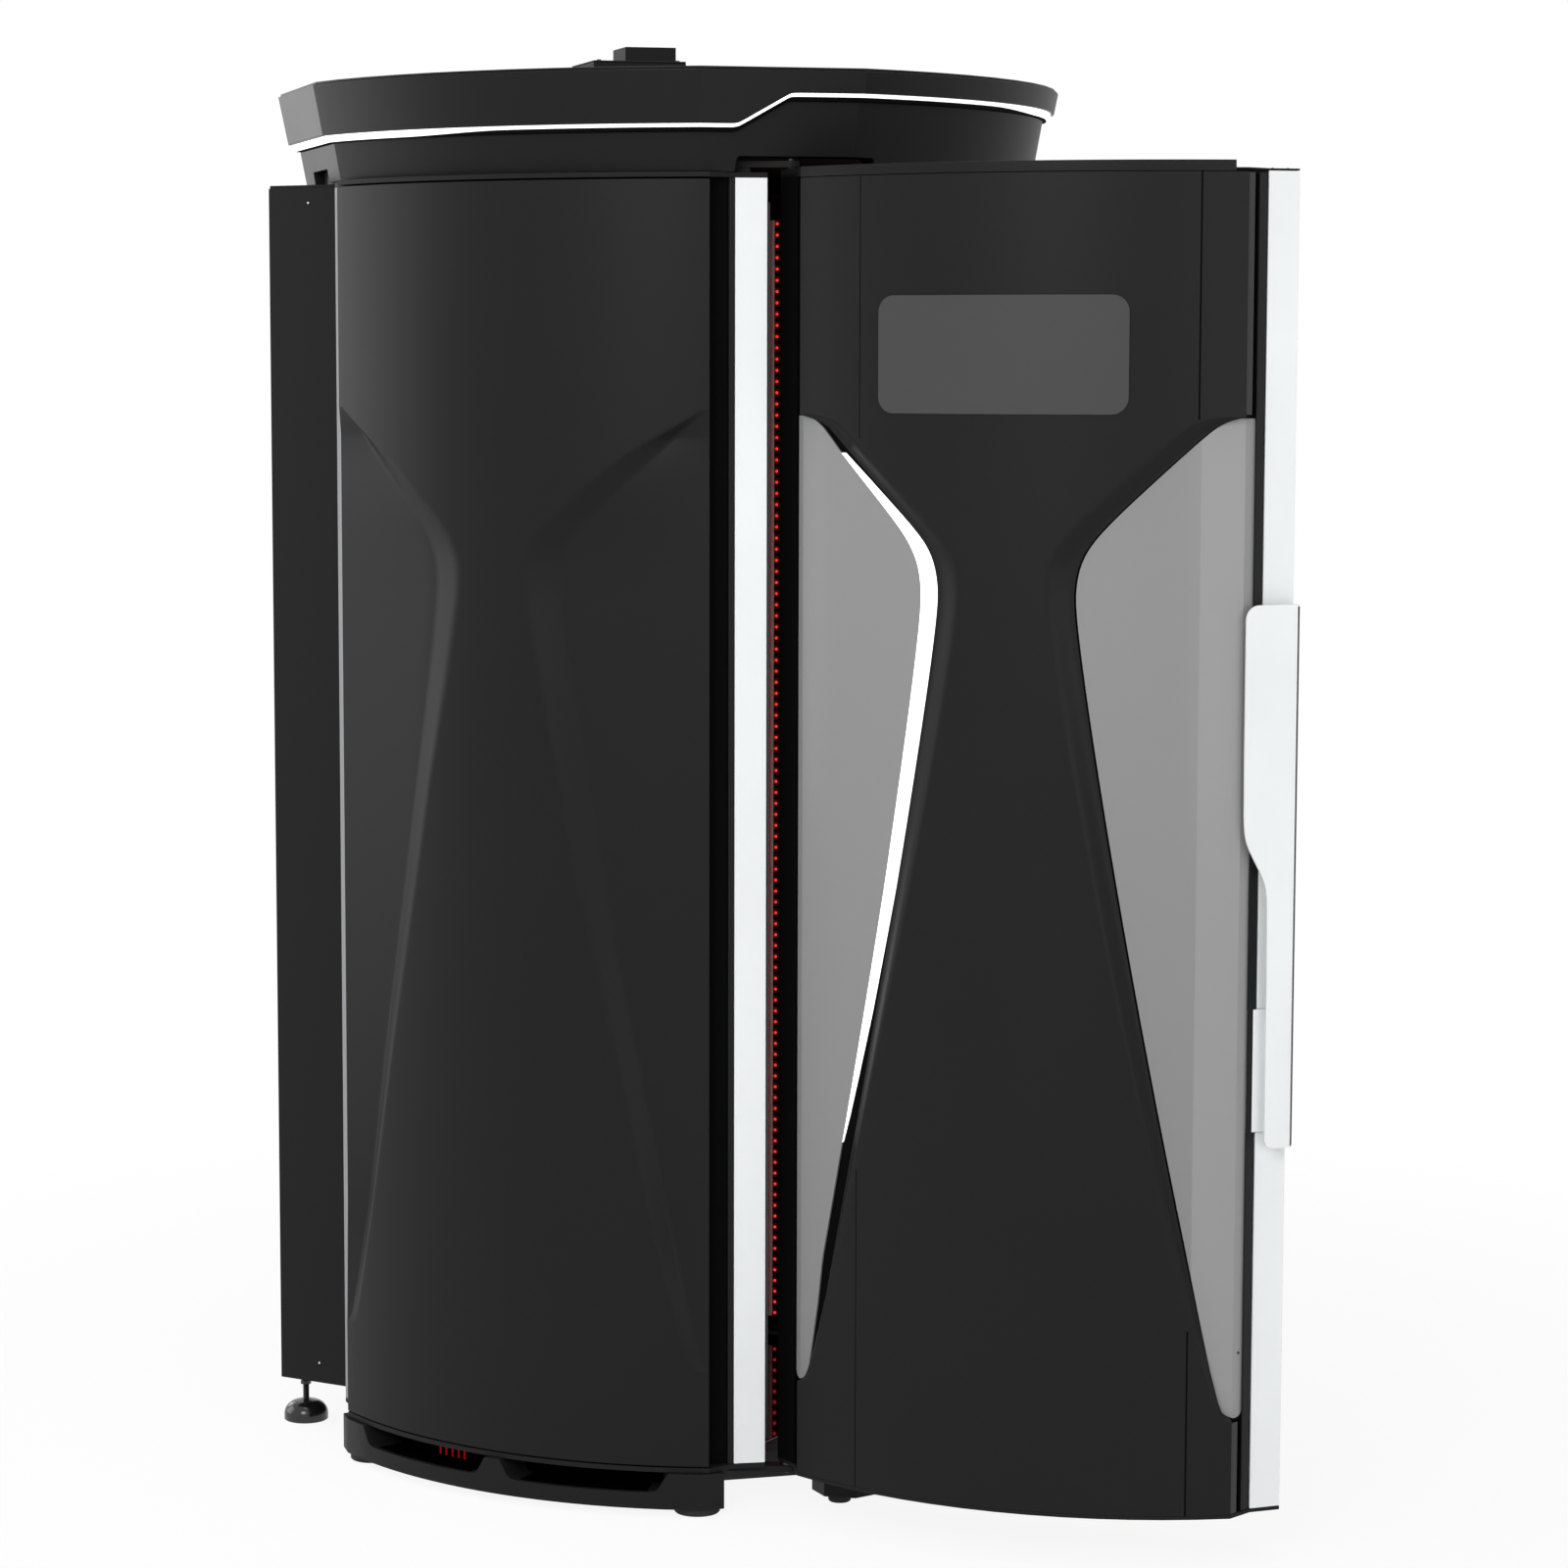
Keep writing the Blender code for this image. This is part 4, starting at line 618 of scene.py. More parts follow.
def face_lists(faces):
    """Faces as plain lists of corner numbers."""
    return faces if isinstance(faces, list) else faces.tolist()


def together(*shapes):
    """Several shapes as one list of points and one of faces."""
    points, faces, start = [], [], 0
    for shape_points, shape_faces in shapes:
        points.append(np.asarray(shape_points, float).reshape(-1, 3))
        faces += [[index + start for index in face] for face in face_lists(shape_faces)]
        start += len(points[-1])
    return np.concatenate(points), faces


def settle(mesh, edge, crease):
    """Merge corners, turn faces outwards, round the sharp edges and shade the rest smooth."""
    work = bmesh.new()
    work.from_mesh(mesh)
    bmesh.ops.remove_doubles(work, verts=work.verts, dist=MERGE)
    bmesh.ops.recalc_face_normals(work, faces=work.faces)
    if edge > 0.0:
        sharp = [e for e in work.edges if e.is_manifold and e.calc_face_angle() > math.radians(crease)]
        bmesh.ops.bevel(work, geom=sharp, offset=edge, segments=EDGE_STEPS, profile=0.5, affect="EDGES",
                        clamp_overlap=True)
    work.to_mesh(mesh)
    work.free()
    mesh.shade_smooth()
    mesh.set_sharp_from_angle(angle=math.radians(crease))


def add_piece(name, mesh, material, body, replaces=()):
    """Put a mesh into the scene as a piece that rides on a body and takes a finish."""
    piece = bpy.data.objects.new(name, mesh)
    bpy.context.scene.collection.objects.link(piece)
    mesh.materials.clear()
    mesh.materials.append(material)
    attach(piece, body)
    if replaces:
        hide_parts(*replaces)
    return piece


def make(name, shape, material, body, replaces=(), edge=0.0, crease=CREASE):
    """A new piece from points and faces."""
    points, faces = shape
    mesh = bpy.data.meshes.new(name)
    mesh.from_pydata(np.asarray(points, float).reshape(-1, 3).tolist(), [], face_lists(faces))
    settle(mesh, edge, crease)
    piece = add_piece(name, mesh, material, body, replaces)
    if edge > 0.0:
        weigh(piece)


def weigh(piece):
    """Keep large faces flat beside their rounded edges."""
    change = piece.modifiers.new("flat_faces", "WEIGHTED_NORMAL")
    change.keep_sharp = True


def lower_head(mesh, drop):
    """Move the points near the skin's top down by a length."""
    places = np.empty(3 * len(mesh.vertices), np.float32)
    mesh.vertices.foreach_get("co", places)
    heights = places[2::3]
    heights[heights > SKIN_TOP - CHASSIS_HEAD] -= drop
    mesh.vertices.foreach_set("co", places)


def soften(node, material, edge, drop=0.0):
    """A copy of a solid in its place: whole flat faces, small round edges and, where asked, a lower top."""
    mesh = frame["nodes"][node].data.copy()
    mesh.name = node + "_soft"
    work = bmesh.new()
    work.from_mesh(mesh)
    bmesh.ops.remove_doubles(work, verts=work.verts, dist=MERGE)
    bmesh.ops.dissolve_limit(work, angle_limit=math.radians(FLAT_ANGLE), verts=work.verts, edges=work.edges)
    work.to_mesh(mesh)
    work.free()
    if drop > 0.0:
        lower_head(mesh, drop)
    settle(mesh, edge, CREASE)
    weigh(add_piece(node + "_soft", mesh, material, BODY_OF[node], (node,)))


def forward(operation):
    """A method that puts a wire first and another value second into a Math node."""
    return lambda wire, other: wire.sum(operation, wire, other)


def reflected(operation):
    """A method that puts another value first and a wire second into a Math node."""
    return lambda wire, other: wire.sum(operation, other, wire)


class Wire:
    """A socket that can be used in plain sums: each sum adds a Math node."""

    def __init__(self, nodes, socket):
        self.nodes = nodes
        self.socket = socket

    def sum(self, operation, first, second):
        """A Math node on two values."""
        return self.nodes.node("ShaderNodeMath", {"operation": operation}, {0: first, 1: second})

    __add__, __radd__ = forward("ADD"), reflected("ADD")
    __sub__, __rsub__ = forward("SUBTRACT"), reflected("SUBTRACT")
    __mul__, __rmul__ = forward("MULTIPLY"), reflected("MULTIPLY")
    __pow__ = forward("POWER")
    __lt__, __gt__ = forward("LESS_THAN"), forward("GREATER_THAN")


class Nodes:
    """A shader tree and the ways to add nodes to it."""

    def __init__(self, tree):
        self.tree = tree

    def feed(self, socket, value):
        """Link a wire to a socket, or set a fixed value on it."""
        if isinstance(value, Wire):
            self.tree.links.new(value.socket, socket)
        else:
            socket.default_value = value

    def node(self, kind, settings, inputs, output=0):
        """Any node: its settings first, then its sockets."""
        made = self.tree.nodes.new(kind)
        for key, value in settings.items():
            setattr(made, key, value)
        for key, value in inputs.items():
            self.feed(made.inputs[key], value)
        return Wire(self, made.outputs[output])

    def first(self, kind):
        """The first node of a type."""
        return next(node for node in self.tree.nodes if node.type == kind)

    def axes(self, where):
        """The three parts of a vector."""
        made = self.tree.nodes.new("ShaderNodeSeparateXYZ")
        self.feed(made.inputs[0], where)
        return [Wire(self, socket) for socket in made.outputs]

    def seen(self):
        """One for what the camera sees straight, in gloss or through glass, and nought for other light."""
        path = self.tree.nodes.new("ShaderNodeLightPath")
        camera, gloss, glass = (Wire(self, path.outputs[f"Is {kind} Ray"])
                                for kind in ("Camera", "Glossy", "Transmission"))
        total = camera + gloss + glass
        return total.sum("MINIMUM", total, 1.0)


class Paint(Nodes):
    """One material, made around a Principled shader whose fixed values are set on its own sockets."""

    def __init__(self, name, fixed):
        self.material = bpy.data.materials.new(name)
        self.material.use_nodes = True
        super().__init__(self.material.node_tree)
        self.shader = self.tree.nodes["Principled BSDF"]
        for socket, value in fixed.items():
            self.set(socket, value)

    def set(self, socket, value):
        """Feed one socket of the shader."""
        self.feed(self.shader.inputs[socket], value)

    def place(self, degrees=0.0, stretch=(1.0, 1.0, 1.0)):
        """Object coordinates, turned about +Z and stretched."""
        where = self.node("ShaderNodeTexCoord", {}, {}, "Object")
        turn = (0.0, 0.0, math.radians(degrees))
        return self.node("ShaderNodeMapping", {}, {"Vector": where, "Rotation": turn, "Scale": stretch})

    def noise(self, where, scale, detail=2.0):
        """Soft noise from 0 to 1."""
        sockets = {"Vector": where, "Scale": scale, "Detail": detail, "Roughness": 0.55}
        return self.node("ShaderNodeTexNoise", {}, sockets)

    def cells(self, where, scale):
        """Distance to the nearest of many scattered points."""
        return self.node("ShaderNodeTexVoronoi", {}, {"Vector": where, "Scale": scale})

    def ease(self, value, low, high):
        """A smooth step between two values."""
        sockets = {"Value": value, "From Min": low, "From Max": high}
        return self.node("ShaderNodeMapRange", {"interpolation_type": "SMOOTHSTEP"}, sockets)

    def blend(self, share, first, second):
        """A colour between two colours."""
        return self.node("ShaderNodeMix", {"data_type": "RGBA"}, {0: share, 6: first, 7: second}, 2)

    def bump(self, height, strength, distance):
        """Fine relief on the surface."""
        sockets = {"Strength": strength, "Distance": distance, "Height": height}
        self.set("Normal", self.node("ShaderNodeBump", {}, sockets))


def shade(colour, share):
    """A colour made lighter or darker by a share, with full alpha."""
    return tuple(min(1.0, part * share) for part in colour[:3]) + (1.0,)


def moulded(name, colour, roughness, shine, grain, relief, dusty=1.0):
    """A moulded or painted surface: cloudy tone and gloss, a fine grain, and some dust on level faces."""
    paint = Paint(name, {"Specular IOR Level": shine})
    where = paint.place()
    cloud = paint.noise(where, 2.6, 3.0)
    fine = paint.noise(where, grain, 2.0)
    facing = paint.node("ShaderNodeNewGeometry", {}, {}, "Normal")
    level = paint.ease(paint.axes(facing)[2], 0.6, 1.0)
    dust = dusty * level * paint.ease(paint.noise(where, 9.0, 4.0), 0.35, 0.75)
    tone = paint.blend(cloud, shade(colour, 0.92), shade(colour, 1.08))
    tone = paint.blend(0.18 * dust, tone, shade(colour, 1.6))
    paint.set("Base Color", tone)
    paint.set("Roughness", roughness * (0.875 + 0.2 * cloud + 0.1 * fine) + 0.06 * dust)
    paint.bump(fine, relief, 0.0004)
    return paint.material


def brushed(name, colour, roughness, degrees, stretch):
    """Drawn or folded sheet metal: fine streaks along one direction, with soft stains."""
    paint = Paint(name, {"Metallic": 1.0})
    streak = paint.noise(paint.place(degrees, stretch), 1.0, 3.0)
    stain = paint.noise(paint.place(), 7.0, 4.0)
    tone = paint.blend(streak, shade(colour, 0.82), shade(colour, 1.12))
    paint.set("Base Color", paint.blend(0.25 * stain, tone, shade(colour, 0.6)))
    paint.set("Roughness", roughness - 0.06 + 0.12 * streak + 0.10 * stain)
    paint.bump(streak, 0.08, 0.0003)
    return paint.material


def along_side(paint, side):
    """Distance along a side, from object coordinates turned with it."""
    turn = math.radians(side.degrees)
    across = paint.axes(paint.place(-side.degrees))[0]
    return across - (side.place[0] * math.cos(turn) + side.place[1] * math.sin(turn) - side.pivot[0])


def frosted(name, colour):
    """Grey tinted acrylic: a faint upright drift, a fine frosting and a lighter band of painted highlight at
    one end.
    """
    paint = Paint(name, {"Specular IOR Level": 0.35, "Coat Roughness": 0.12})
    where = paint.place()
    height = paint.axes(where)[2]
    drift = paint.noise(paint.place(0.0, (6.0, 6.0, 0.8)), 1.0, 2.0)
    frost = paint.noise(where, 1400.0, 1.0)
    tone = paint.blend(paint.ease(height, 0.1, 1.9), shade(colour, 0.97), shade(colour, 1.06))
    tone = paint.blend(0.18 * drift, tone, shade(colour, 0.8))
    # Painted highlight: from this angle to the end the window is coloured lighter, where its facet catches
    # more light
    bright = (SKIN_RADIUS - RECESS_DEPTH) * math.sin(math.radians(WINDOW_SHEEN))
    lighter = paint.ease(along_side(paint, DOOR), bright - SHEEN_BLUR, bright + SHEEN_BLUR)
    tone = paint.blend(lighter, tone, shade(colour, 1.19))
    paint.set("Base Color", tone)
    paint.set("Roughness", 0.36 + 0.08 * frost + 0.05 * drift)
    paint.set("Coat Weight", 0.10 + 0.06 * drift)
    paint.bump(frost, 0.02, 0.0002)
    return paint.material


def glowing(name, colour, strength, pitch):
    """A lit opal diffuser: white, with faint soft spots about as far apart as the lamps behind it."""
    paint = Paint(name, {"Roughness": 0.35, "Emission Strength": strength})
    where = paint.place(0.0, (1.0 / pitch, 1.0 / pitch, 1.0 / pitch))
    bead = paint.noise(where, 1.0, 1.0)
    tone = paint.blend(bead, shade(colour, 0.94), shade(colour, 1.0))
    paint.set("Base Color", tone)
    paint.set("Emission Color", tone)
    return paint.material


def circuit(name, colour, side, shift=0.0):
    """An LED board: a dark face with a reflector ring round each lamp and thin joints between its modules."""
    paint = Paint(name, {"Specular IOR Level": 0.4})
    pitch = bpy.context.scene.booth_sizes.led_pitch
    height = paint.axes(paint.place())[2]

    def cell(value, size):
        """Distance to the nearest line of an even row of lines."""
        return value.sum("PINGPONG", value, size)

    across = cell(along_side(paint, side) + ((2 * LED_COLUMNS + 0.5) * pitch - shift), 0.5 * pitch)
    upright = cell(height - LED_BOTTOM + 0.5 * pitch, 0.5 * pitch)
    far = (across * across + upright * upright) ** 0.5
    ring = (far < 0.36 * pitch) * (far > 0.20 * pitch)
    joint = cell(height - LED_BOTTOM, 5 * pitch) < 0.0009
    grain = paint.noise(paint.place(), 420.0, 2.0)
    tone = paint.blend(grain, shade(colour, 0.85), shade(colour, 1.15))
    tone = paint.blend(ring, tone, (0.22, 0.19, 0.185, 1.0))
    tone = paint.blend(joint, tone, (0.004, 0.004, 0.004, 1.0))
    paint.set("Base Color", tone)
    paint.set("Metallic", 0.8 * ring)
    paint.set("Roughness", 0.48 - 0.2 * ring + 0.08 * grain)
    paint.bump(grain, 0.05, 0.0003)
    return paint.material


def lamp(name, colour, strength):
    """A red lamp lens: clear red, with a slight spread in brightness from lamp to lamp."""
    paint = Paint(name, {"Roughness": 0.16, "Emission Strength": strength})
    spread = paint.noise(paint.place(), 55.0, 1.0)
    tone = paint.blend(spread, shade(colour, 0.7), shade(colour, 1.0))
    paint.set("Base Color", tone)
    paint.set("Emission Color", tone)
    return paint.material


def rubbery(name, colour, scale):
    """Rubber: dull, with a pebbled face and pale scuffs."""
    paint = Paint(name, {"Specular IOR Level": 0.25})
    where = paint.place()
    pebble = paint.cells(where, scale)
    scuff = paint.ease(paint.noise(where, 14.0, 5.0), 0.55, 0.8)
    tone = paint.blend(pebble, shade(colour, 1.15), shade(colour, 0.85))
    paint.set("Base Color", paint.blend(0.35 * scuff, tone, shade(colour, 2.2)))
    paint.set("Roughness", 0.72 + 0.14 * scuff)
    paint.bump(pebble, 0.25, 0.0006)
    return paint.material


FINISH_CACHE = {}

# Each finish: its recipe, its colour and the recipe's own values
FINISHES = {
    "satin_black": (moulded, "satin_black", 0.40, 0.10, 900.0, 0.035),
    "powder_black": (moulded, "powder_black", 0.58, 0.12, 1500.0, 0.11),
    "gap_black": (moulded, "gap_black", 0.80, 0.03, 600.0, 0.05),
    "white_coat": (moulded, "white_coat", 0.34, 0.45, 700.0, 0.025),
    # Painted shade: the white coat darkened to a mid grey for the strip that faces away from the light
    "dull_coat": (moulded, "dull_coat", 0.50, 0.20, 700.0, 0.025),
    "gloss_black": (moulded, "powder_black", 0.16, 0.50, 300.0, 0.01),
    # Painted shade: near-black for the sheets set in slots, notches and gaps
    "void_black": (moulded, "void_black", 0.80, 0.0, 600.0, 0.05),
    "canopy_black": (moulded, "canopy_black", 0.40, 0.05, 900.0, 0.035),
    "joint_grey": (moulded, "joint_grey", 0.40, 0.30, 500.0, 0.03),
    "edge_grey": (moulded, "edge_grey", 0.40, 0.12, 900.0, 0.03),
    "sheet_black": (moulded, "void_black", 0.03, 0.80, 240.0, 0.0, 0.0),
    "panel_grey": (moulded, "panel_grey", 0.52, 0.20, 1200.0, 0.05),
    "deck_black": (moulded, "deck_black", 0.60, 0.25, 260.0, 0.10),
    "screw_black": (brushed, "screw_black", 0.38, 0.0, (300.0, 300.0, 300.0)),
    "alloy_sheet": (brushed, "alloy", 0.36, 45.0, (30.0, 900.0, 30.0)),
    "bright_steel": (brushed, "steel", 0.24, 0.0, (40.0, 40.0, 1400.0)),
    "window_grey": (frosted, "window_grey"),
    "light_white": (glowing, "light_white", 1.35, 0.02),
    "lamp_red": (lamp, "lamp_red", 1.15),
    # Painted light: a glow for red light leaking into the plinth slots, not a lamp of its own
    "vent_red": (lamp, "vent_red", 0.6),
    "rubber_black": (rubbery, "rubber", 340.0),
    "led_board_left": (circuit, "led_board", LEFT),
    "led_board_door": (circuit, "led_board", DOOR),
    "led_board_rear_left": (circuit, "led_board", REAR_LEFT),
    "led_board_rear_right": (circuit, "led_board", REAR_RIGHT, LED_JOINT_SHIFT),
}


def finish(name):
    """The material of a finish, made once from the scene's colours."""
    if name not in FINISH_CACHE:
        recipe, colour_name, *values = FINISHES[name]
        FINISH_CACHE[name] = recipe(name, getattr(bpy.context.scene.booth_colours, colour_name), *values)
    return FINISH_CACHE[name]


def length(name, description, default):
    """A length property."""
    return FloatProperty(name=name, description=description, default=default, min=0.0, unit="LENGTH",
                         precision=4)


def colour(name, description, default):
    """A colour property."""
    return FloatVectorProperty(name=name, description=description, default=default, subtype="COLOR", min=0.0,
                               max=1.0)


class BoothSizes(bpy.types.PropertyGroup):
    """Sizes of the finished surfaces that a user would change."""
    edge_radius: length("Edge radius", "Rounding of plate and case edges", 0.0012)
    led_pitch: length("LED pitch", "Distance between neighbouring lamps", 0.020)
    led_radius: length("LED radius", "Radius of one lamp's lens", 0.0029)
    screw_radius: length("Screw radius", "Radius of a screw's head", 0.0042)
    seam_width: length("Seam width", "Width of the thinner seam in the door's skin", 0.0012)
    light_height: length("Light height", "Height of the light line under the canopy's cap", 0.0052)
    arc_steps: IntProperty(name="Arc steps", description="Points along each curved edge of the canopy",
                           default=44, min=8)


class BoothColours(bpy.types.PropertyGroup):
    """Colours of the finishes."""
    satin_black: colour("Satin black", "Curved skins, plinths and the canopy's cap", (0.0105, 0.0105, 0.0107))
    powder_black: colour("Powder black", "Cabinets, plates and brackets", (0.0095, 0.0095, 0.0097))
    gap_black: colour("Gap black", "Seams and channels", (0.0022, 0.0022, 0.0022))
    # Near-black used as painted shade in slots, notches and gaps, and as the floor mat's own colour
    void_black: colour("Void black", "Linings of slots, and the floor mat", (0.0008, 0.0008, 0.0008))
    canopy_black: colour("Canopy black", "Skirt of the canopy", (0.0130, 0.0130, 0.0132))
    joint_grey: colour("Joint grey", "Strips between the LED boards", (0.80, 0.78, 0.78))
    white_coat: colour("White coat", "Strips, handle and brackets", (0.83, 0.85, 0.86))
    # Painted shade: the same white strip coat, darkened where that strip faces away from the light
    dull_coat: colour("Dull coat", "Strip between the fixed skin and the rear cabinet", (0.26, 0.26, 0.27))
    window_grey: colour("Window grey", "Side windows of the door", (0.222, 0.222, 0.222))
    panel_grey: colour("Panel grey", "Bare panel of the door", (0.050, 0.050, 0.050))
    edge_grey: colour("Edge grey", "Trim beside the door's strip", (0.042, 0.042, 0.043))
    light_white: colour("Light white", "Light lines", (1.0, 1.0, 1.0))
    lamp_red: colour("Lamp red", "LED lenses", (1.0, 0.035, 0.025))
    # Painted light: the glow of the bars that stand in for red light inside the plinth slots
    vent_red: colour("Vent red", "Red light behind the plinth vents", (0.30, 0.004, 0.003))
    led_board: colour("LED board", "Boards that carry the lamps", (0.0065, 0.0055, 0.0055))
    alloy: colour("Alloy", "Cases of the LED drivers", (0.46, 0.46, 0.47))
    steel: colour("Steel", "Fan guard, plate screws and the socket's blades", (0.62, 0.62, 0.63))
    screw_black: colour("Screw black", "Screw heads, hinge pins and studs", (0.060, 0.060, 0.062))
    rubber: colour("Rubber", "Pads under the plinths and the deck", (0.020, 0.020, 0.020))
    deck_black: colour("Deck black", "Floor deck", (0.028, 0.028, 0.030))


class BoothStage(bpy.types.PropertyGroup):
    """The camera, the even light and the floor."""
    camera_place: FloatVectorProperty(name="Camera place", description="Where the camera stands",
                                      default=(-1.788, -6.843, 1.880), subtype="TRANSLATION")
    camera_turn: FloatVectorProperty(name="Camera turn", description="How the camera is turned",
                                     default=(math.radians(83.870), 0.0, math.radians(-14.767)),
                                     subtype="EULER")
    camera_lens: FloatProperty(name="Lens", description="Focal length on a 36 mm sensor", default=94.43,
                               unit="CAMERA")
    camera_shift: FloatProperty(name="Shift", description="Sideways shift of the picture", default=0.0608)
    sky: FloatProperty(name="Sky", description="Strength of the even light from all round", default=0.50,
                       min=0.0)
    lean: FloatProperty(name="Lean", description="How much more of the even light comes from the left",
                        default=0.55, min=0.0, max=1.0)
    floor_colour: colour("Floor", "Floor under the booth", (0.90, 0.90, 0.90))


def lean_sheet(rows, angles, depths, wall, side):
    """A curved sheet from angles and depths at each height, with its back on an even arc behind them."""
    heights = SKIN_BOTTOM + rows[:, None]
    front = side.at(*arc(SKIN_RADIUS - depths, angles), heights)
    back = side.at(*arc(SKIN_RADIUS - np.maximum(RECESS_DEPTH, depths) - wall, angles), heights)
    return sheet(front, back)


def crest_columns(edge, width, deep, count, rise=smooth):
    """Half a skin's columns, from the hourglass edge to the middle: a climbing rim, then the level crest."""
    climb = np.linspace(0.0, 1.0, count)[None, :]
    level = np.linspace(1.0, 0.0, count + 4)[None, 1:]
    crest = (edge - width)[:, None]
    angles = np.concatenate([edge[:, None] - width[:, None] * climb, crest * level], axis=1)
    depths = np.concatenate([deep[:, None] * (1.0 - rise(climb)), np.zeros_like(crest * level)], axis=1)
    return angles, depths


def mirrored(angles, depths):
    """Columns of both halves, from the left end to the right end."""
    whole_angles = np.concatenate([-angles, angles[:, -2::-1]], axis=1)
    return whole_angles, np.concatenate([depths, depths[:, -2::-1]], axis=1)


class BOOTH_OT_left_skin(bpy.types.Operator):
    """Build the fixed side's curved skin: the hourglass stands out of two flat recesses"""
    bl_idname = "booth.left_skin"
    bl_label = "Left skin"

    def execute(self, context):
        rows = skin_rows(0.0, SKIN_HEIGHT)
        spread = np.interp(rows, LEFT_SPREAD_HEIGHTS, LEFT_SPREADS)
        width = np.interp(rows, LEFT_RIM_HEIGHTS, LEFT_RIMS)
        edge = np.minimum(hourglass(rows, 0.0) + spread, LEFT_END)
        deep = RECESS_DEPTH * np.clip((LEFT_END - edge) / RIM_WIDE, 0.0, 1.0)
        parts = self.floor(edge, deep), crest_columns(edge, width, deep, LEFT_RIM_COLUMNS, eased)
        angles, depths = mirrored(*(side_by_side(*pair) for pair in zip(*parts)))
        make("left_skin_soft", lean_sheet(rows, angles, depths, SKIN_WALL, LEFT), finish("satin_black"),
             "booth", ("left_skin",), crease=SKIN_CREASE)
        return {"FINISHED"}

    @staticmethod
    def floor(edge, deep):
        """Columns of a flat recess: a straight line in plan from the skin's end to the foot of the rim."""
        share = np.linspace(0.0, 1.0, LEFT_FLOOR_COLUMNS)[None, :-1]
        ends = np.stack(arc(SKIN_RADIUS - RECESS_END_SHARE * deep, HALF_ANGLE))[:, :, None]
        foot = np.stack(arc(SKIN_RADIUS - deep, edge))[:, :, None]
        along, out = ends + (foot - ends) * share
        out = out - ARC_CENTRE
        return np.degrees(np.arctan2(along, out)), SKIN_RADIUS - np.hypot(along, out)


class BOOTH_OT_door_skin(bpy.types.Operator):
    """Build the door's hourglass skin with sloped rims, and its upright seams"""
    bl_idname = "booth.door_skin"
    bl_label = "Door skin"

    def execute(self, context):
        rows = skin_rows(0.0, SKIN_HEIGHT)
        angles, depths = mirrored(*crest_columns(hourglass(rows), rim(rows), recess(rows), RIM_COLUMNS))
        make("door_skin_soft", lean_sheet(rows, angles, depths, SKIN_WALL, DOOR), finish("satin_black"),
             "door", ("door_skin",), crease=SKIN_CREASE)
        width = context.scene.booth_sizes.seam_width / SEAMS[0][1]
        across = np.array([[-1.0, 0.0, 1.0]])
        shapes = []
        for angle, share in SEAMS:
            spread = angle + math.degrees(0.5 * share * width / SKIN_RADIUS) * across
            clear = rows[hourglass(rows) - rim(rows) > abs(angle) + SEAM_CLEAR]
            for run in np.split(clear, np.where(np.diff(clear) > SEAM_BREAK)[0] + 1):
                heights = SKIN_BOTTOM + run[:, None]
                front = DOOR.at(*arc(SKIN_RADIUS + SEAM_PROUD * np.abs(across), spread), heights)
                shapes.append(sheet(front, DOOR.at(*arc(SKIN_RADIUS - SEAM_DEPTH, spread), heights)))
        make("door_skin_seams", together(*shapes), finish("gap_black"), "door")
        return {"FINISHED"}


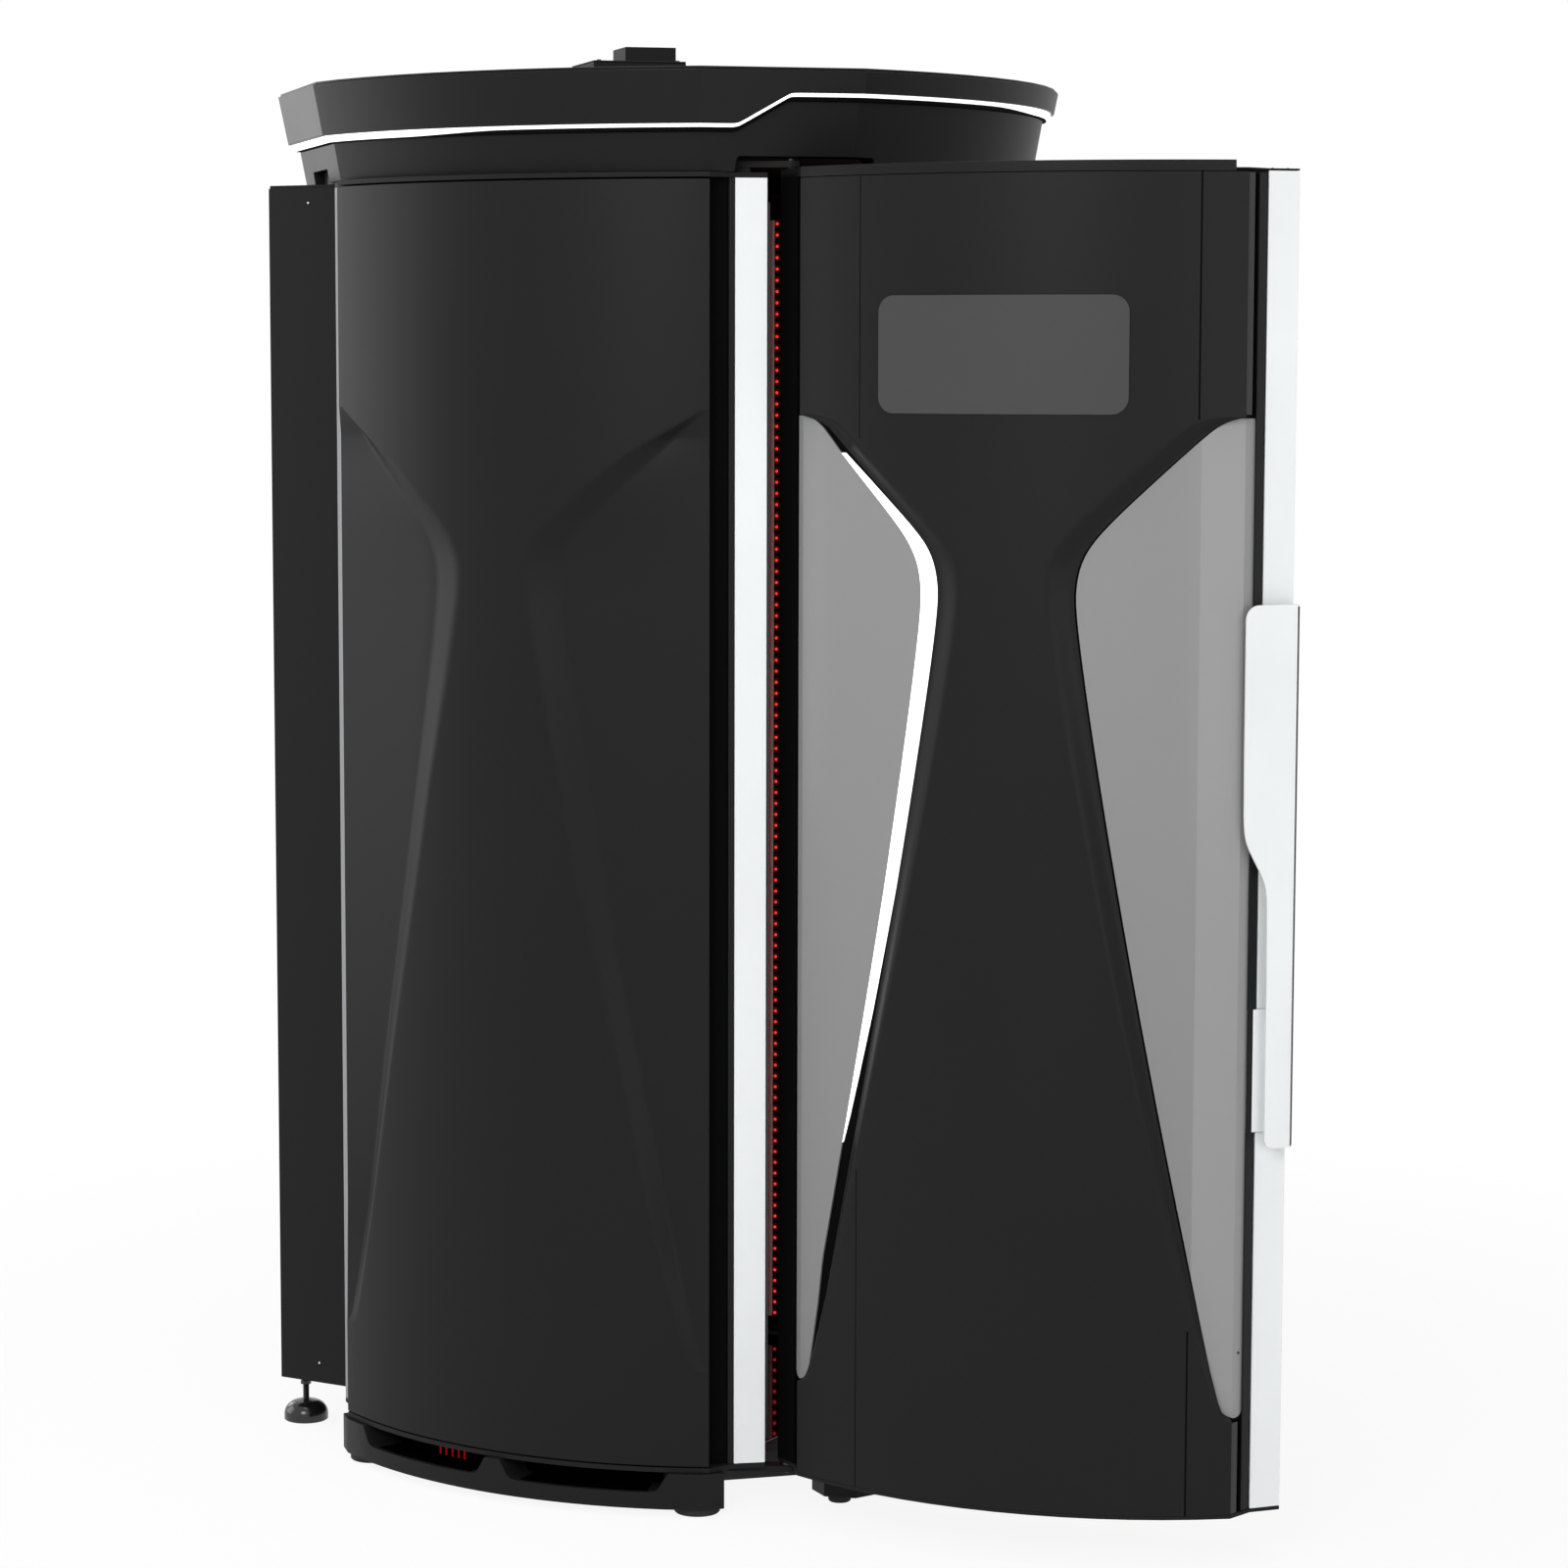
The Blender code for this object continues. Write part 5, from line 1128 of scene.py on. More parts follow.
class BOOTH_OT_windows(bpy.types.Operator):
    """Build the two curved side windows and the light line that follows the left one"""
    bl_idname = "booth.windows"
    bl_label = "Windows and light line"

    def execute(self, context):
        turn = np.linspace(0.0, 0.5 * math.pi, 9)[1:]
        corner = WINDOW_BOTTOM + WINDOW_CORNER * (1.0 - np.cos(turn))
        rows = np.unique(np.concatenate([skin_rows(WINDOW_BOTTOM, WINDOW_TOP), corner]))
        low = np.clip((WINDOW_BOTTOM + WINDOW_CORNER - rows) / WINDOW_CORNER, 0.0, 1.0)
        tuck = math.degrees(WINDOW_CORNER / SKIN_RADIUS) * (1.0 - np.sqrt(1.0 - low ** 2))[:, None]
        clear = rows > WINDOW_BOTTOM + WINDOW_CORNER
        foot = hourglass(rows)
        right_groove = RIGHT_GROOVE * smooth((rows - WINDOW_BOTTOM) / RIGHT_GROOVE_RUN)
        windows = (("door_window_left", -1.0, WINDOW_LEFT_END, groove_width(rows)),
                   ("door_window_right", 1.0, WINDOW_RIGHT_END, right_groove))
        share = np.linspace(0.0, 1.0, 22)[None, :]
        grooves = []
        for name, sign, end, groove in windows:
            near = np.minimum(foot + groove + WINDOW_GAP, end - WINDOW_LEAST)[:, None] + 0.5 * tuck
            tip = np.maximum(end - tuck, near + WINDOW_TIP)
            knee = np.clip(end - WINDOW_ROLL, near + WINDOW_KNEE, tip - WINDOW_KNEE)
            angles = side_by_side(near + (knee - near) * share, knee + (tip - knee) * share[:, 3::3])
            roll = np.clip((angles - end + WINDOW_ROLL) / WINDOW_ROLL, 0.0, 1.0)
            shape = lean_sheet(rows, sign * angles, RECESS_DEPTH + WINDOW_DROP * roll, WINDOW_WALL, DOOR)
            make(name + "_soft", shape, finish("window_grey"), "door", (name,),
                 crease=WINDOW_CREASE)
            under = np.minimum(foot, end - GROOVE_END)[clear, None] - GROOVE_LAPS[0]
            wide = under + (groove[clear, None] + sum(GROOVE_LAPS)) * np.linspace(0.0, 1.0, 4)[None, :]
            depth = RECESS_DEPTH + GROOVE_DEPTH
            grooves.append(lean_sheet(rows[clear], sign * wide, depth, GROOVE_WALL, DOOR))
        make("door_grooves", together(*grooves), finish("gap_black"), "door")
        rows = skin_rows(LINE_HEIGHTS[0], LINE_HEIGHTS[-1])
        share = np.linspace(0.0, 1.0, 9)[None, :]
        near = (hourglass(rows) + groove_width(rows) - line_width(rows))[:, None]
        angles = -(near + line_width(rows)[:, None] * share)
        crown = LINE_CROWN * 4.0 * share * (1.0 - share)
        shape = lean_sheet(rows, angles, RECESS_DEPTH - crown, WINDOW_WALL, DOOR)
        make("door_light_line_soft", shape, finish("light_white"), "door",
             ("door_light_line",))
        return {"FINISHED"}


class BOOTH_OT_bare_panel(bpy.types.Operator):
    """Build the plain rounded panel that lies on the upper part of the door"""
    bl_idname = "booth.bare_panel"
    bl_label = "Bare panel"

    def execute(self, context):
        turn = np.radians(np.linspace(0.0, 90.0, 10))
        drop = PANEL_CORNER * (1.0 - np.cos(turn))
        half = PANEL_HALF - math.degrees(PANEL_CORNER / SKIN_RADIUS) * (1.0 - np.sin(turn))
        rows = PANEL_BOTTOM + np.concatenate([drop, PANEL_HEIGHT - drop[::-1]])
        half = np.concatenate([half, half[::-1]])[:, None]
        angles = PANEL_CENTRE + half * np.linspace(-1.0, 1.0, 41)[None, :]
        heights = SKIN_BOTTOM + rows[:, None]
        front = DOOR.at(*arc(SKIN_RADIUS + PANEL_WALL, angles), heights)
        back = DOOR.at(*arc(SKIN_RADIUS, angles), heights)
        make("door_panel_soft", sheet(front, back), finish("panel_grey"), "door",
             ("door_panel",), edge=PANEL_EDGE)
        return {"FINISHED"}


class BOOTH_OT_strips(bpy.types.Operator):
    """Build the white end strips with round edges, and the black trims beside the fixed side's two"""
    bl_idname = "booth.strips"
    bl_label = "End strips"

    def execute(self, context):
        face = rounded(rectangle(0.0, STRIP_WIDTH, 0.0, STRIP_WALL), STRIP_ROUND)
        trim = rectangle(-STRIP_LIP, -STRIP_TRIM_GAP, 0.0, STRIP_TRIM_WALL)
        # The fixed side's rear strip is white like the others; its darker coat is painted shade
        runs = (("left_strip_rear", LEFT, -1, "dull_coat"), ("left_strip_front", LEFT, 1, "white_coat"),
                ("door_strip", DOOR, 1, "white_coat"))
        for name, side, sign, coat in runs:
            low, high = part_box(name)
            make(name + "_soft", prism(strip_outline(sign, face), low.z, high.z, side), finish(coat),
                 BODY_OF[name], (name,), edge=STRIP_EDGE)
            if side is LEFT:
                make(name + "_edge", prism(strip_outline(sign, trim), low.z, high.z, side),
                     finish("powder_black"), "booth", edge=STRIP_EDGE)
        return {"FINISHED"}


def edge_plate(span, depth, low, high):
    """A thin upright plate between two shares of the line from the door skin's end to its strip."""
    run = np.array(EDGE_RUN)
    inward = np.array([run[1], -run[0]]) / np.linalg.norm(run)
    start = np.array(arc(SKIN_RADIUS, HALF_ANGLE)) + depth * inward
    first, last = start + span[0] * run, start + span[1] * run
    return prism([first, last, last + EDGE_WALL * inward, first + EDGE_WALL * inward], low, high, DOOR)


class BOOTH_OT_door_edge(bpy.types.Operator):
    """Build the thin trims beside the door's white strip, a near-black plate of painted shade in the gap
    between them, its chassis and its stepped top plate
    """
    bl_idname = "booth.door_edge"
    bl_label = "Door edge"

    def execute(self, context):
        edge = context.scene.booth_sizes.edge_radius
        foot, head = SKIN_BOTTOM + EDGE_INSET, SKIN_TOP - EDGE_INSET
        runs = ((foot, SKIN_BOTTOM + WINDOW_BOTTOM - EDGE_BELOW),
                (SKIN_BOTTOM + WINDOW_TOP + EDGE_ABOVE, head))
        make("door_edge_trim", together(*[edge_plate(EDGE_TRIM, EDGE_SET, *run) for run in runs]),
             finish("edge_grey"), "door", edge=EDGE_ROUND)
        # Painted shade: a near-black plate set deep in the gap between the trim and the rail
        make("door_edge_gap", together(*[edge_plate(EDGE_GAP, EDGE_GAP_DEPTH, *run) for run in runs]),
             finish("void_black"), "door")
        make("door_edge_rail", edge_plate(EDGE_RAIL, EDGE_SET, foot, head), finish("satin_black"), "door",
             edge=EDGE_ROUND)
        soften("door_chassis", finish("powder_black"), 0.5 * edge, drop=CHASSIS_DROP)
        make("door_top_plate_soft", together(*self.top_shapes()), finish("satin_black"), "door",
             ("door_top_plate",), edge=0.6 * edge)
        return {"FINISHED"}

    @staticmethod
    def top_shapes():
        """The top's thin plate, its front lip and the solid block at its hinge."""
        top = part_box("door_top_plate")[1].z
        corner = INNER_DISTANCE - DOOR_MITRE
        bow = np.stack(arc(SKIN_RADIUS, np.linspace(-HALF_ANGLE, HALF_ANGLE, 49)), axis=-1).tolist()
        left = [(-corner, INNER_DISTANCE), strip_point(-1, STRIP_WIDTH, 0.0), strip_point(-1, 0.0, 0.0)]
        right = [strip_point(1, 0.0, 0.0), strip_point(1, STRIP_WIDTH, 0.0), (corner, INNER_DISTANCE)]
        lean = np.linspace(-HALF_ANGLE, LID_LIP_END, 41)
        lip = np.concatenate([np.stack(arc(SKIN_RADIUS + LID_LIP_PROUD, lean), axis=-1),
                              np.stack(arc(SKIN_RADIUS - LID_LIP, lean[::-1]), axis=-1)])
        block = left + [point for point in bow if point[0] < LID_BLOCK] + [(LID_BLOCK, INNER_DISTANCE)]
        return (prism(left + bow + right, SKIN_TOP + LID_RISE, LID_TOP, DOOR),
                prism(lip, SKIN_TOP + LID_LIP_SEAT, top, DOOR),
                prism(block, LID_TOP - LID_BLOCK_LAP, top - LID_BLOCK_DROP, DOOR))


def on_strip(along, off, z):
    """World point in front of the door's white strip."""
    u, n = strip_point(1, along, -off)
    return DOOR.at(u, n, z)


def handle_outline():
    """The handle's heights and left edge: narrow, a soft step to wide, and a round corner at each end."""
    wide, narrow = HANDLE_RIGHT - HANDLE_WIDE, HANDLE_RIGHT - HANDLE_NARROW
    turn = np.linspace(0.0, 0.5 * math.pi, 9)
    head = HANDLE_TOP - HANDLE_CORNER * (1.0 - np.sin(turn))
    foot = HANDLE_BOTTOM + HANDLE_FOOT_CORNER * (1.0 - np.cos(turn))
    step, step_end = HANDLE_STEP - HANDLE_BLEND, HANDLE_STEP + HANDLE_TAPER + HANDLE_BLEND
    rows = np.concatenate([foot, np.linspace(foot[-1], step - HANDLE_BLEND_GAP, 4)[1:],
                           np.linspace(step, step_end, 30),
                           np.linspace(step_end + HANDLE_BLEND_GAP, head[0], 4)[:-1], head])
    past = rows - HANDLE_STEP
    climb = ramp(past, HANDLE_STEP_ROUND) - ramp(past - HANDLE_TAPER, HANDLE_STEP_ROUND)
    left = narrow + (wide - narrow) / HANDLE_TAPER * climb
    for gap, radius in ((rows - head[0], HANDLE_CORNER), (foot[-1] - rows, HANDLE_FOOT_CORNER)):
        left = left + radius * (1.0 - np.sqrt(1.0 - np.clip(gap / radius, 0.0, 1.0) ** 2))
    return rows[:, None], left[:, None]


class BOOTH_OT_handle(bpy.types.Operator):
    """Build the folded sheet handle with its tapered outline, a dark band of painted shade on its bend, and
    the two brackets that carry it
    """
    bl_idname = "booth.handle"
    bl_label = "Handle"

    def execute(self, context):
        rows, left = handle_outline()
        axis, out = HANDLE_RIGHT - HANDLE_BEND, HANDLE_STANDOFF + HANDLE_WALL - HANDLE_BEND
        face = left + (axis - left) * np.linspace(0.0, 1.0, 8)[None, :-1]
        bend = np.linspace(0.0, 0.5 * math.pi, 7)[None, :]
        lean = np.radians(np.linspace(*HANDLE_SHADE, 6))[None, :]
        upright = np.linspace(HANDLE_BOTTOM + HANDLE_SHADE_INSET, HANDLE_TOP - HANDLE_SHADE_INSET, 12)[:, None]

        def section(radius):
            """The face, the bend round its axis and the flange's edge."""
            along = side_by_side(face, axis + radius * np.sin(bend), [[axis + radius]])
            off = side_by_side(np.full_like(face, out + radius), out + radius * np.cos(bend),
                               [[HANDLE_STANDOFF - HANDLE_FLANGE]])
            return on_strip(along, off, rows)

        def line(radius):
            """A narrow dark band of painted shade round part of the bend."""
            return on_strip(axis + radius * np.sin(lean), out + radius * np.cos(lean), upright)

        make("door_handle_soft", sheet(section(HANDLE_BEND), section(HANDLE_BEND - HANDLE_WALL)),
             finish("white_coat"), "door", ("door_handle",), edge=HANDLE_EDGE)
        # Painted shade: a thin dark band on the bend's right edge
        painted_shade_band = sheet(line(HANDLE_BEND + HANDLE_SHADE_PROUD), line(HANDLE_BEND - HANDLE_SHADE_DEPTH))
        make("handle_edge", painted_shade_band, finish("powder_black"), "door")
        self.brackets()
        return {"FINISHED"}

    @staticmethod
    def brackets():
        """The two brackets behind the handle, and a near-black block of painted shade in the lower one's
        groove.
        """
        leg, off = BRACKET_EDGE - BRACKET_LEG, HANDLE_STANDOFF - BRACKET_SEAT
        near, away = BRACKET_GROOVE + BRACKET_GROOVE_HALF, BRACKET_GROOVE - BRACKET_GROOVE_HALF
        plain = [(BRACKET_EDGE, BRACKET_SEAT), (BRACKET_EDGE, off), (leg, off)]
        wing = [(leg, BRACKET_WING_WALL), (near, BRACKET_WING_WALL), (near, BRACKET_GROOVE_FLOOR),
                (away, BRACKET_GROOVE_FLOOR), (away, BRACKET_WING_WALL),
                (leg - BRACKET_WING, BRACKET_WING_WALL), (leg - BRACKET_WING, BRACKET_SEAT)]
        outward = np.array([1.0, -1.0])
        for name, points in (("handle_bracket_lower", plain + wing),
                             ("handle_bracket_upper", plain + [(leg, BRACKET_SEAT)])):
            low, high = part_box(name)
            make(name + "_soft", prism(strip_outline(1, points * outward), low.z, high.z, DOOR),
                 finish("white_coat"), "door", (name,), edge=BRACKET_ROUND)
        # Painted shade: a near-black block in the groove of the lower bracket
        low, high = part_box("handle_bracket_lower")
        fill = strip_outline(1, rectangle(away, near, *BRACKET_SHADE) * outward)
        make("bracket_groove", prism(fill, low.z + BRACKET_SHADE_INSET, high.z - BRACKET_SHADE_INSET, DOOR),
             finish("gap_black"), "door")


def bowed(first, last, steps, extra=()):
    """Points on the arc between two corners that stands out by the sagitta, and some at set distances."""
    first, last = np.array(first), np.array(last)
    chord = last - first
    along = chord / np.linalg.norm(chord)
    out = np.array([along[1], -along[0]])
    radius = (chord @ chord / 4 + CANOPY_SAGITTA ** 2) / (2 * CANOPY_SAGITTA)
    half = math.asin(np.linalg.norm(chord) / 2 / radius)
    lean = np.linspace(-half, half, steps + 1)[1:-1]
    near = np.asarray(extra, float) / radius - half
    if len(near):
        lean = np.concatenate([near, lean[lean > near[-1] + 0.5 * half / steps]])
    lean = lean[:, None]
    centre = 0.5 * (first + last) + out * (CANOPY_SAGITTA - radius)
    return centre + radius * (np.cos(lean) * out + np.sin(lean) * along)


def canopy_edge(steps):
    """The canopy's top edge in plan, each point's way outward, its rise and its skirt's lower edge."""
    end = CANOPY_REAR - CANOPY_FACET
    back_half = CANOPY_REAR - CANOPY_BACK
    quarter = NOTCH_ROUND * (1.0 - np.cos(np.linspace(0.0, 0.5 * math.pi, 5)))
    stop = np.concatenate([[0.5 * NOTCH_RUN], NOTCH_RUN - quarter[::-1], [NOTCH_RUN + NOTCH_BLEND]])
    around = np.linspace(-RISE_REACH, RISE_REACH, 9)
    front_x = [[-CANOPY_FRONT_HALF, NOTCH_START - NOTCH_BLEND, CANOPY_FRONT_HALF], NOTCH_START + quarter,
               RISE_START + around, RISE_END + around]
    front = np.array([[x, -CANOPY_FACET] for x in np.unique(np.concatenate(front_x))])
    left_y = [end, SIDE_NOTCH_BACK + NOTCH_BLEND, SIDE_NOTCH_BACK, SIDE_NOTCH_FRONT,
              SIDE_NOTCH_FRONT - NOTCH_BLEND, -CANOPY_SIDE_HALF]
    left = np.array([[-CANOPY_FACET, y] for y in left_y])
    right_y = [-CANOPY_SIDE_HALF, JAMB_STEP - NOTCH_BLEND, JAMB_STEP, end]
    right = np.array([[CANOPY_FACET, y] for y in right_y])
    back = np.array([[back_half, CANOPY_BACK], [-back_half, CANOPY_BACK]])
    runs = [left, bowed(left[-1], front[0], steps), front, bowed(front[-1], right[0], steps, stop), right,
            back]
    plan = np.concatenate(runs)
    before, after = plan - np.roll(plan, 1, 0), np.roll(plan, -1, 0) - plan
    first, second = (np.stack([step[:, 1], -step[:, 0]], axis=-1)
                     / np.linalg.norm(step, axis=1, keepdims=True) for step in (before, after))
    move = (first + second) / (1.0 + np.sum(first * second, axis=1, keepdims=True))
    x, y = plan.T
    climb = (ramp(x - RISE_START, RISE_ROUND) - ramp(x - RISE_END, RISE_ROUND)) / (RISE_END - RISE_START)
    rear = y > end + MERGE
    rise = LINE_RISE * np.where(rear, x > 0.0, np.clip(climb, 0.0, 1.0))
    base = np.full(len(plan), SKIRT_BOTTOM)
    base[(x > 0.0) & (y < JAMB_STEP - MERGE) & ~rear] += SKIRT_OVER_DOOR
    inward = np.clip((NOTCH_ROUND - x + NOTCH_START) / NOTCH_ROUND, 0.0, 1.0)
    bend = NOTCH_HEIGHT - NOTCH_ROUND * (1.0 - np.sqrt(1.0 - inward ** 2))
    front_notch = (y < -CANOPY_FACET + MERGE) & (x > NOTCH_START - MERGE)
    base[front_notch] = SKIRT_BOTTOM + bend[front_notch]
    begin = len(left) + len(runs[1]) + len(front)
    outward = np.clip((stop[:-1] - NOTCH_RUN + NOTCH_ROUND) / NOTCH_ROUND, 0.0, 1.0)
    drop = NOTCH_ROUND * (1.0 - np.sqrt(1.0 - outward ** 2))
    base[begin:begin + len(drop)] = SKIRT_BOTTOM + NOTCH_HEIGHT - drop
    front_notch[begin:begin + len(drop)] = True
    side_notch = (x < MERGE - CANOPY_FACET) & (y < SIDE_NOTCH_BACK + MERGE) & (y > SIDE_NOTCH_FRONT - MERGE)
    low = base + SIDE_NOTCH_HEIGHT * side_notch
    return plan, move, rise, low, base, front_notch


def band(plan, move, insets, heights):
    """A closed band: a profile of insets and heights carried round the canopy's edge."""
    insets = np.stack(np.broadcast_arrays(*insets), axis=-1)
    heights = np.stack(np.broadcast_arrays(*heights), axis=-1)
    flat = plan[:, None] - move[:, None] * insets[..., None]
    points = np.concatenate([flat, heights[..., None]], axis=-1)
    return points, grid_faces(*insets.shape, round_rows=True, round_columns=True)


class BOOTH_OT_canopy(bpy.types.Operator):
    """Build the canopy's skirt, a near-black sheet of painted shade in its notches, its channel, light line,
    cap and roof
    """
    bl_idname = "booth.canopy"
    bl_label = "Canopy"

    def execute(self, context):
        sizes = context.scene.booth_sizes
        plan, move, rise, low, base, notch = canopy_edge(sizes.arc_steps)
        top, lip = RING_BOTTOM + rise, CAP_BOTTOM + rise
        foot_in = SKIRT_INSET - SKIRT_FLARE * (low - SKIRT_BOTTOM)
        top_in = SKIRT_INSET - SKIRT_FLARE * (top - SKIRT_BOTTOM)
        lip_in = CAP_FLARE * (CAP_TOP - lip)
        step_in = foot_in + SIDE_NOTCH_DEPTH
        skirt = band(plan, move, (foot_in, top_in, SKIRT_INNER, SKIRT_INNER, step_in, step_in),
                     (low, top, top, base, base, low))
        make("canopy_skirt_soft", skirt, finish("canopy_black"), "booth", ("canopy_skirt",),
             edge=sizes.edge_radius, crease=CANOPY_CREASE)
        # Painted shade: a near-black sheet under the roof of each notch
        near = foot_in[notch] + NOTCH_SHADE_SHEET_FRONT
        across = np.stack([near, np.full_like(near, SKIRT_INNER - NOTCH_SHADE_SHEET_BACK)], axis=-1)[..., None]
        flat = plan[notch][:, None] - move[notch][:, None] * across
        roof = np.repeat(low[notch][:, None, None], 2, axis=1)
        under = [np.concatenate([flat, roof - gap], axis=-1) for gap in NOTCH_SHADE_SHEET]
        make("canopy_notch_lining", sheet(*under), finish("void_black"), "booth")
        fade = smooth((np.abs(plan[:, 0]) - LIGHT_FADE[0]) / LIGHT_FADE[1])
        beside = np.where(plan[:, 1] > -CANOPY_SIDE_HALF - MERGE, 1.0, fade)
        split = lip - sizes.light_height - LIGHT_FADE_SHARE * beside * (lip - top - sizes.light_height)
        seat = lip_in + RING_INSET
        deep = seat + CHANNEL_DEPTH
        foot = top + BAND_GAP
        channel = band(plan, move, (deep, deep, CAP_INNER, CAP_INNER), (foot, split, split, foot))
        make("canopy_channel", channel, finish("gap_black"), "booth", crease=CANOPY_CREASE)
        foot = split + BAND_GAP
        light = band(plan, move, (seat, seat, CAP_INNER, CAP_INNER), (foot, lip, lip, foot))
        make("canopy_light_soft", light, finish("light_white"), "booth",
             ("canopy_light_ring",), crease=CANOPY_CREASE)
        foot = lip + BAND_GAP
        cap = band(plan, move, (lip_in + CAP_LIP_ROUND, lip_in, CAP_FLARE * CAP_ROUND, CAP_BEND[0], CAP_ROUND,
                                CAP_INNER, CAP_INNER),
                   (foot, foot + CAP_LIP_ROUND, CAP_TOP - CAP_ROUND, CAP_TOP - CAP_BEND[1], CAP_TOP, CAP_TOP,
                    foot))
        make("canopy_cap_soft", cap, finish("satin_black"), "booth", ("canopy_cap",),
             crease=CANOPY_CREASE)
        soften("roof_panel", finish("satin_black"), sizes.edge_radius)
        return {"FINISHED"}


LED_PANELS = (("left_led_panel", LEFT, 0.0, "led_board_left"),
              ("door_led_panel", DOOR, 0.0, "led_board_door"),
              ("rear_left_led_panel", REAR_LEFT, 0.0, "led_board_rear_left"),
              ("rear_right_led_panel", REAR_RIGHT, LED_JOINT_SHIFT, "led_board_rear_right"))


class BOOTH_OT_led_panels(bpy.types.Operator):
    """Build the LED boards and their rows of red lamps"""
    bl_idname = "booth.led_panels"
    bl_label = "LED panels"

    def execute(self, context):
        sizes = context.scene.booth_sizes
        pitch, radius = sizes.led_pitch, sizes.led_radius
        lens, faces = turned(np.array(LENS_PROFILE) * (radius, 1.0), 8)
        ridge = np.array(JOINT_PROFILE) * (0.5 * LED_JOINT_WIDTH, -LED_JOINT_PROUD)
        face = LED_BACK - LED_WALL
        for node, side, joint, board in LED_PANELS:
            soften(node, finish(board), LED_EDGE)
            across = joint + pitch * (np.arange(-LED_COLUMNS, LED_COLUMNS) + 0.5)
            across = across[np.abs(across) < LED_HALF_WIDTH - radius]
            up = np.arange(LED_BOTTOM + 0.5 * pitch, LED_TOP - 0.4 * pitch, pitch)
            u, z = [part.ravel() for part in np.meshgrid(across, up)]
            lamps = copies(lens, faces, side.at(u, face, z), side.way(0.0, -1.0))
            make(node + "_lamps", lamps, finish("lamp_red"), BODY_OF[node])
            strip = prism(ridge + (joint, face), LED_BOTTOM + LED_JOINT_INSET, LED_TOP - LED_JOINT_INSET,
                          side)
            make(node + "_joint", strip, finish("joint_grey"), BODY_OF[node])
        return {"FINISHED"}


SOFT_CASES = (
    ("powder_black", "painted_alloy", 1.5, ("rear_left_cabinet", "rear_right_cabinet", "rear_post")),
    ("powder_black", "painted_black", 0.7, (
        "rear_left_end_plate", "rear_right_end_plate", "left_base_plate", "left_top_plate",
        "door_bottom_plate", "hinge_bracket_top", "hinge_bracket_bottom", "hinge_spacer")),
    ("powder_black", "black_plastic", 0.8, ("left_corner_post", "right_jamb")),
    ("gap_black", "black_plastic", 0.8, ("ceiling_panel",)),
    ("gap_black", "painted_black", 0.7, ("door_hinge_stile",)),
    ("gap_black", "alloy_sheet", 0.5, ("left_chassis",)),
    ("alloy_sheet", "alloy_sheet", 0.5, ("rear_left_led_driver", "rear_right_led_driver")),
    ("powder_black", "alloy_sheet", 0.8, ("fan_housing", "exhaust_duct")),
    ("screw_black", "bright_steel", 0.4, ("hinge_pin_top", "hinge_pin_bottom", "hinge_washer")),
    ("deck_black", "deck_board", 1.0, ("floor_deck",)),
    ("sheet_black", "black_rubber", 1.0, ("floor_mat",)),
    ("rubber_black", "black_rubber", 1.2, ("centre_pad",)),
    ("powder_black", "black_plastic", 1.0, ("power_inlet",)),
)


class BOOTH_OT_cases(bpy.types.Operator):
    """Give the plates, cabinets, posts and brackets round edges and their finishes"""
    bl_idname = "booth.cases"
    bl_label = "Cases and plates"

    def execute(self, context):
        edge = context.scene.booth_sizes.edge_radius
        for look, slot, share, nodes in SOFT_CASES:
            for node in nodes:
                soften(node, finish(look), share * edge)
        return {"FINISHED"}


def plinth_rows(hinged):
    """A plinth's outer points, slot back points, back points and wall heights along its length.

    The wall's height falls from the top to the slot's floor with leaning ends and rounded corners: two soft
    ramps of the distance past each end, added to the floor and held under the top.
    """
    first = -HINGE_END if hinged else -PLINTH_END
    ends = np.array(SLOT_ENDS)
    middle = np.linspace(SLOT_START + SLOT_MIDDLE, SLOT_STOP - SLOT_MIDDLE, 12)
    slot = np.concatenate([SLOT_START + ends, middle, SLOT_STOP - ends[::-1]])
    angles = np.concatenate([[first], -slot[::-1], [0.0], slot, [PLINTH_END]])
    steep = (PLINTH_HIGH - SLOT_FLOOR) / SLOT_LEAN
    inside = ramp(SLOT_START + SLOT_LEAN - np.abs(angles), SLOT_ROUND)
    outside = ramp(np.abs(angles) - SLOT_STOP + SLOT_LEAN, SLOT_ROUND)
    height = np.minimum(SLOT_FLOOR + steep * (inside + outside), PLINTH_HIGH)
    outer = np.stack(arc(PLINTH_RADIUS, angles), axis=-1)
    deep = np.stack(arc(PLINTH_RADIUS - SLOT_DEPTH, angles), axis=-1)
    back = np.stack([PLINTH_BACK_HALF * angles / PLINTH_END, np.full_like(angles, PLINTH_BACK)], axis=-1)
    corner = np.array([PLINTH_BACK_HALF, PLINTH_BACK])
    facet = outer[-1] + PLINTH_FACET * np.array([1.0, -1.0])
    neck = facet - PLINTH_NECK * np.array([1.0, 1.0])
    turn = np.array([-1.0, 1.0])
    before = [turn * HINGE_CORNER] if hinged else [turn * neck, turn * facet]
    outer = np.concatenate([before, outer, [facet, neck]])
    deep = np.concatenate([[0.5 * (point + turn * corner) for point in before], deep,
                           [0.5 * (facet + corner), 0.5 * (neck + corner)]])
    back = np.concatenate([[turn * corner] * len(before), back, [corner, corner]])
    height = np.concatenate([[PLINTH_HIGH] * len(before), height, [PLINTH_HIGH] * 2])
    return outer, deep, back, height


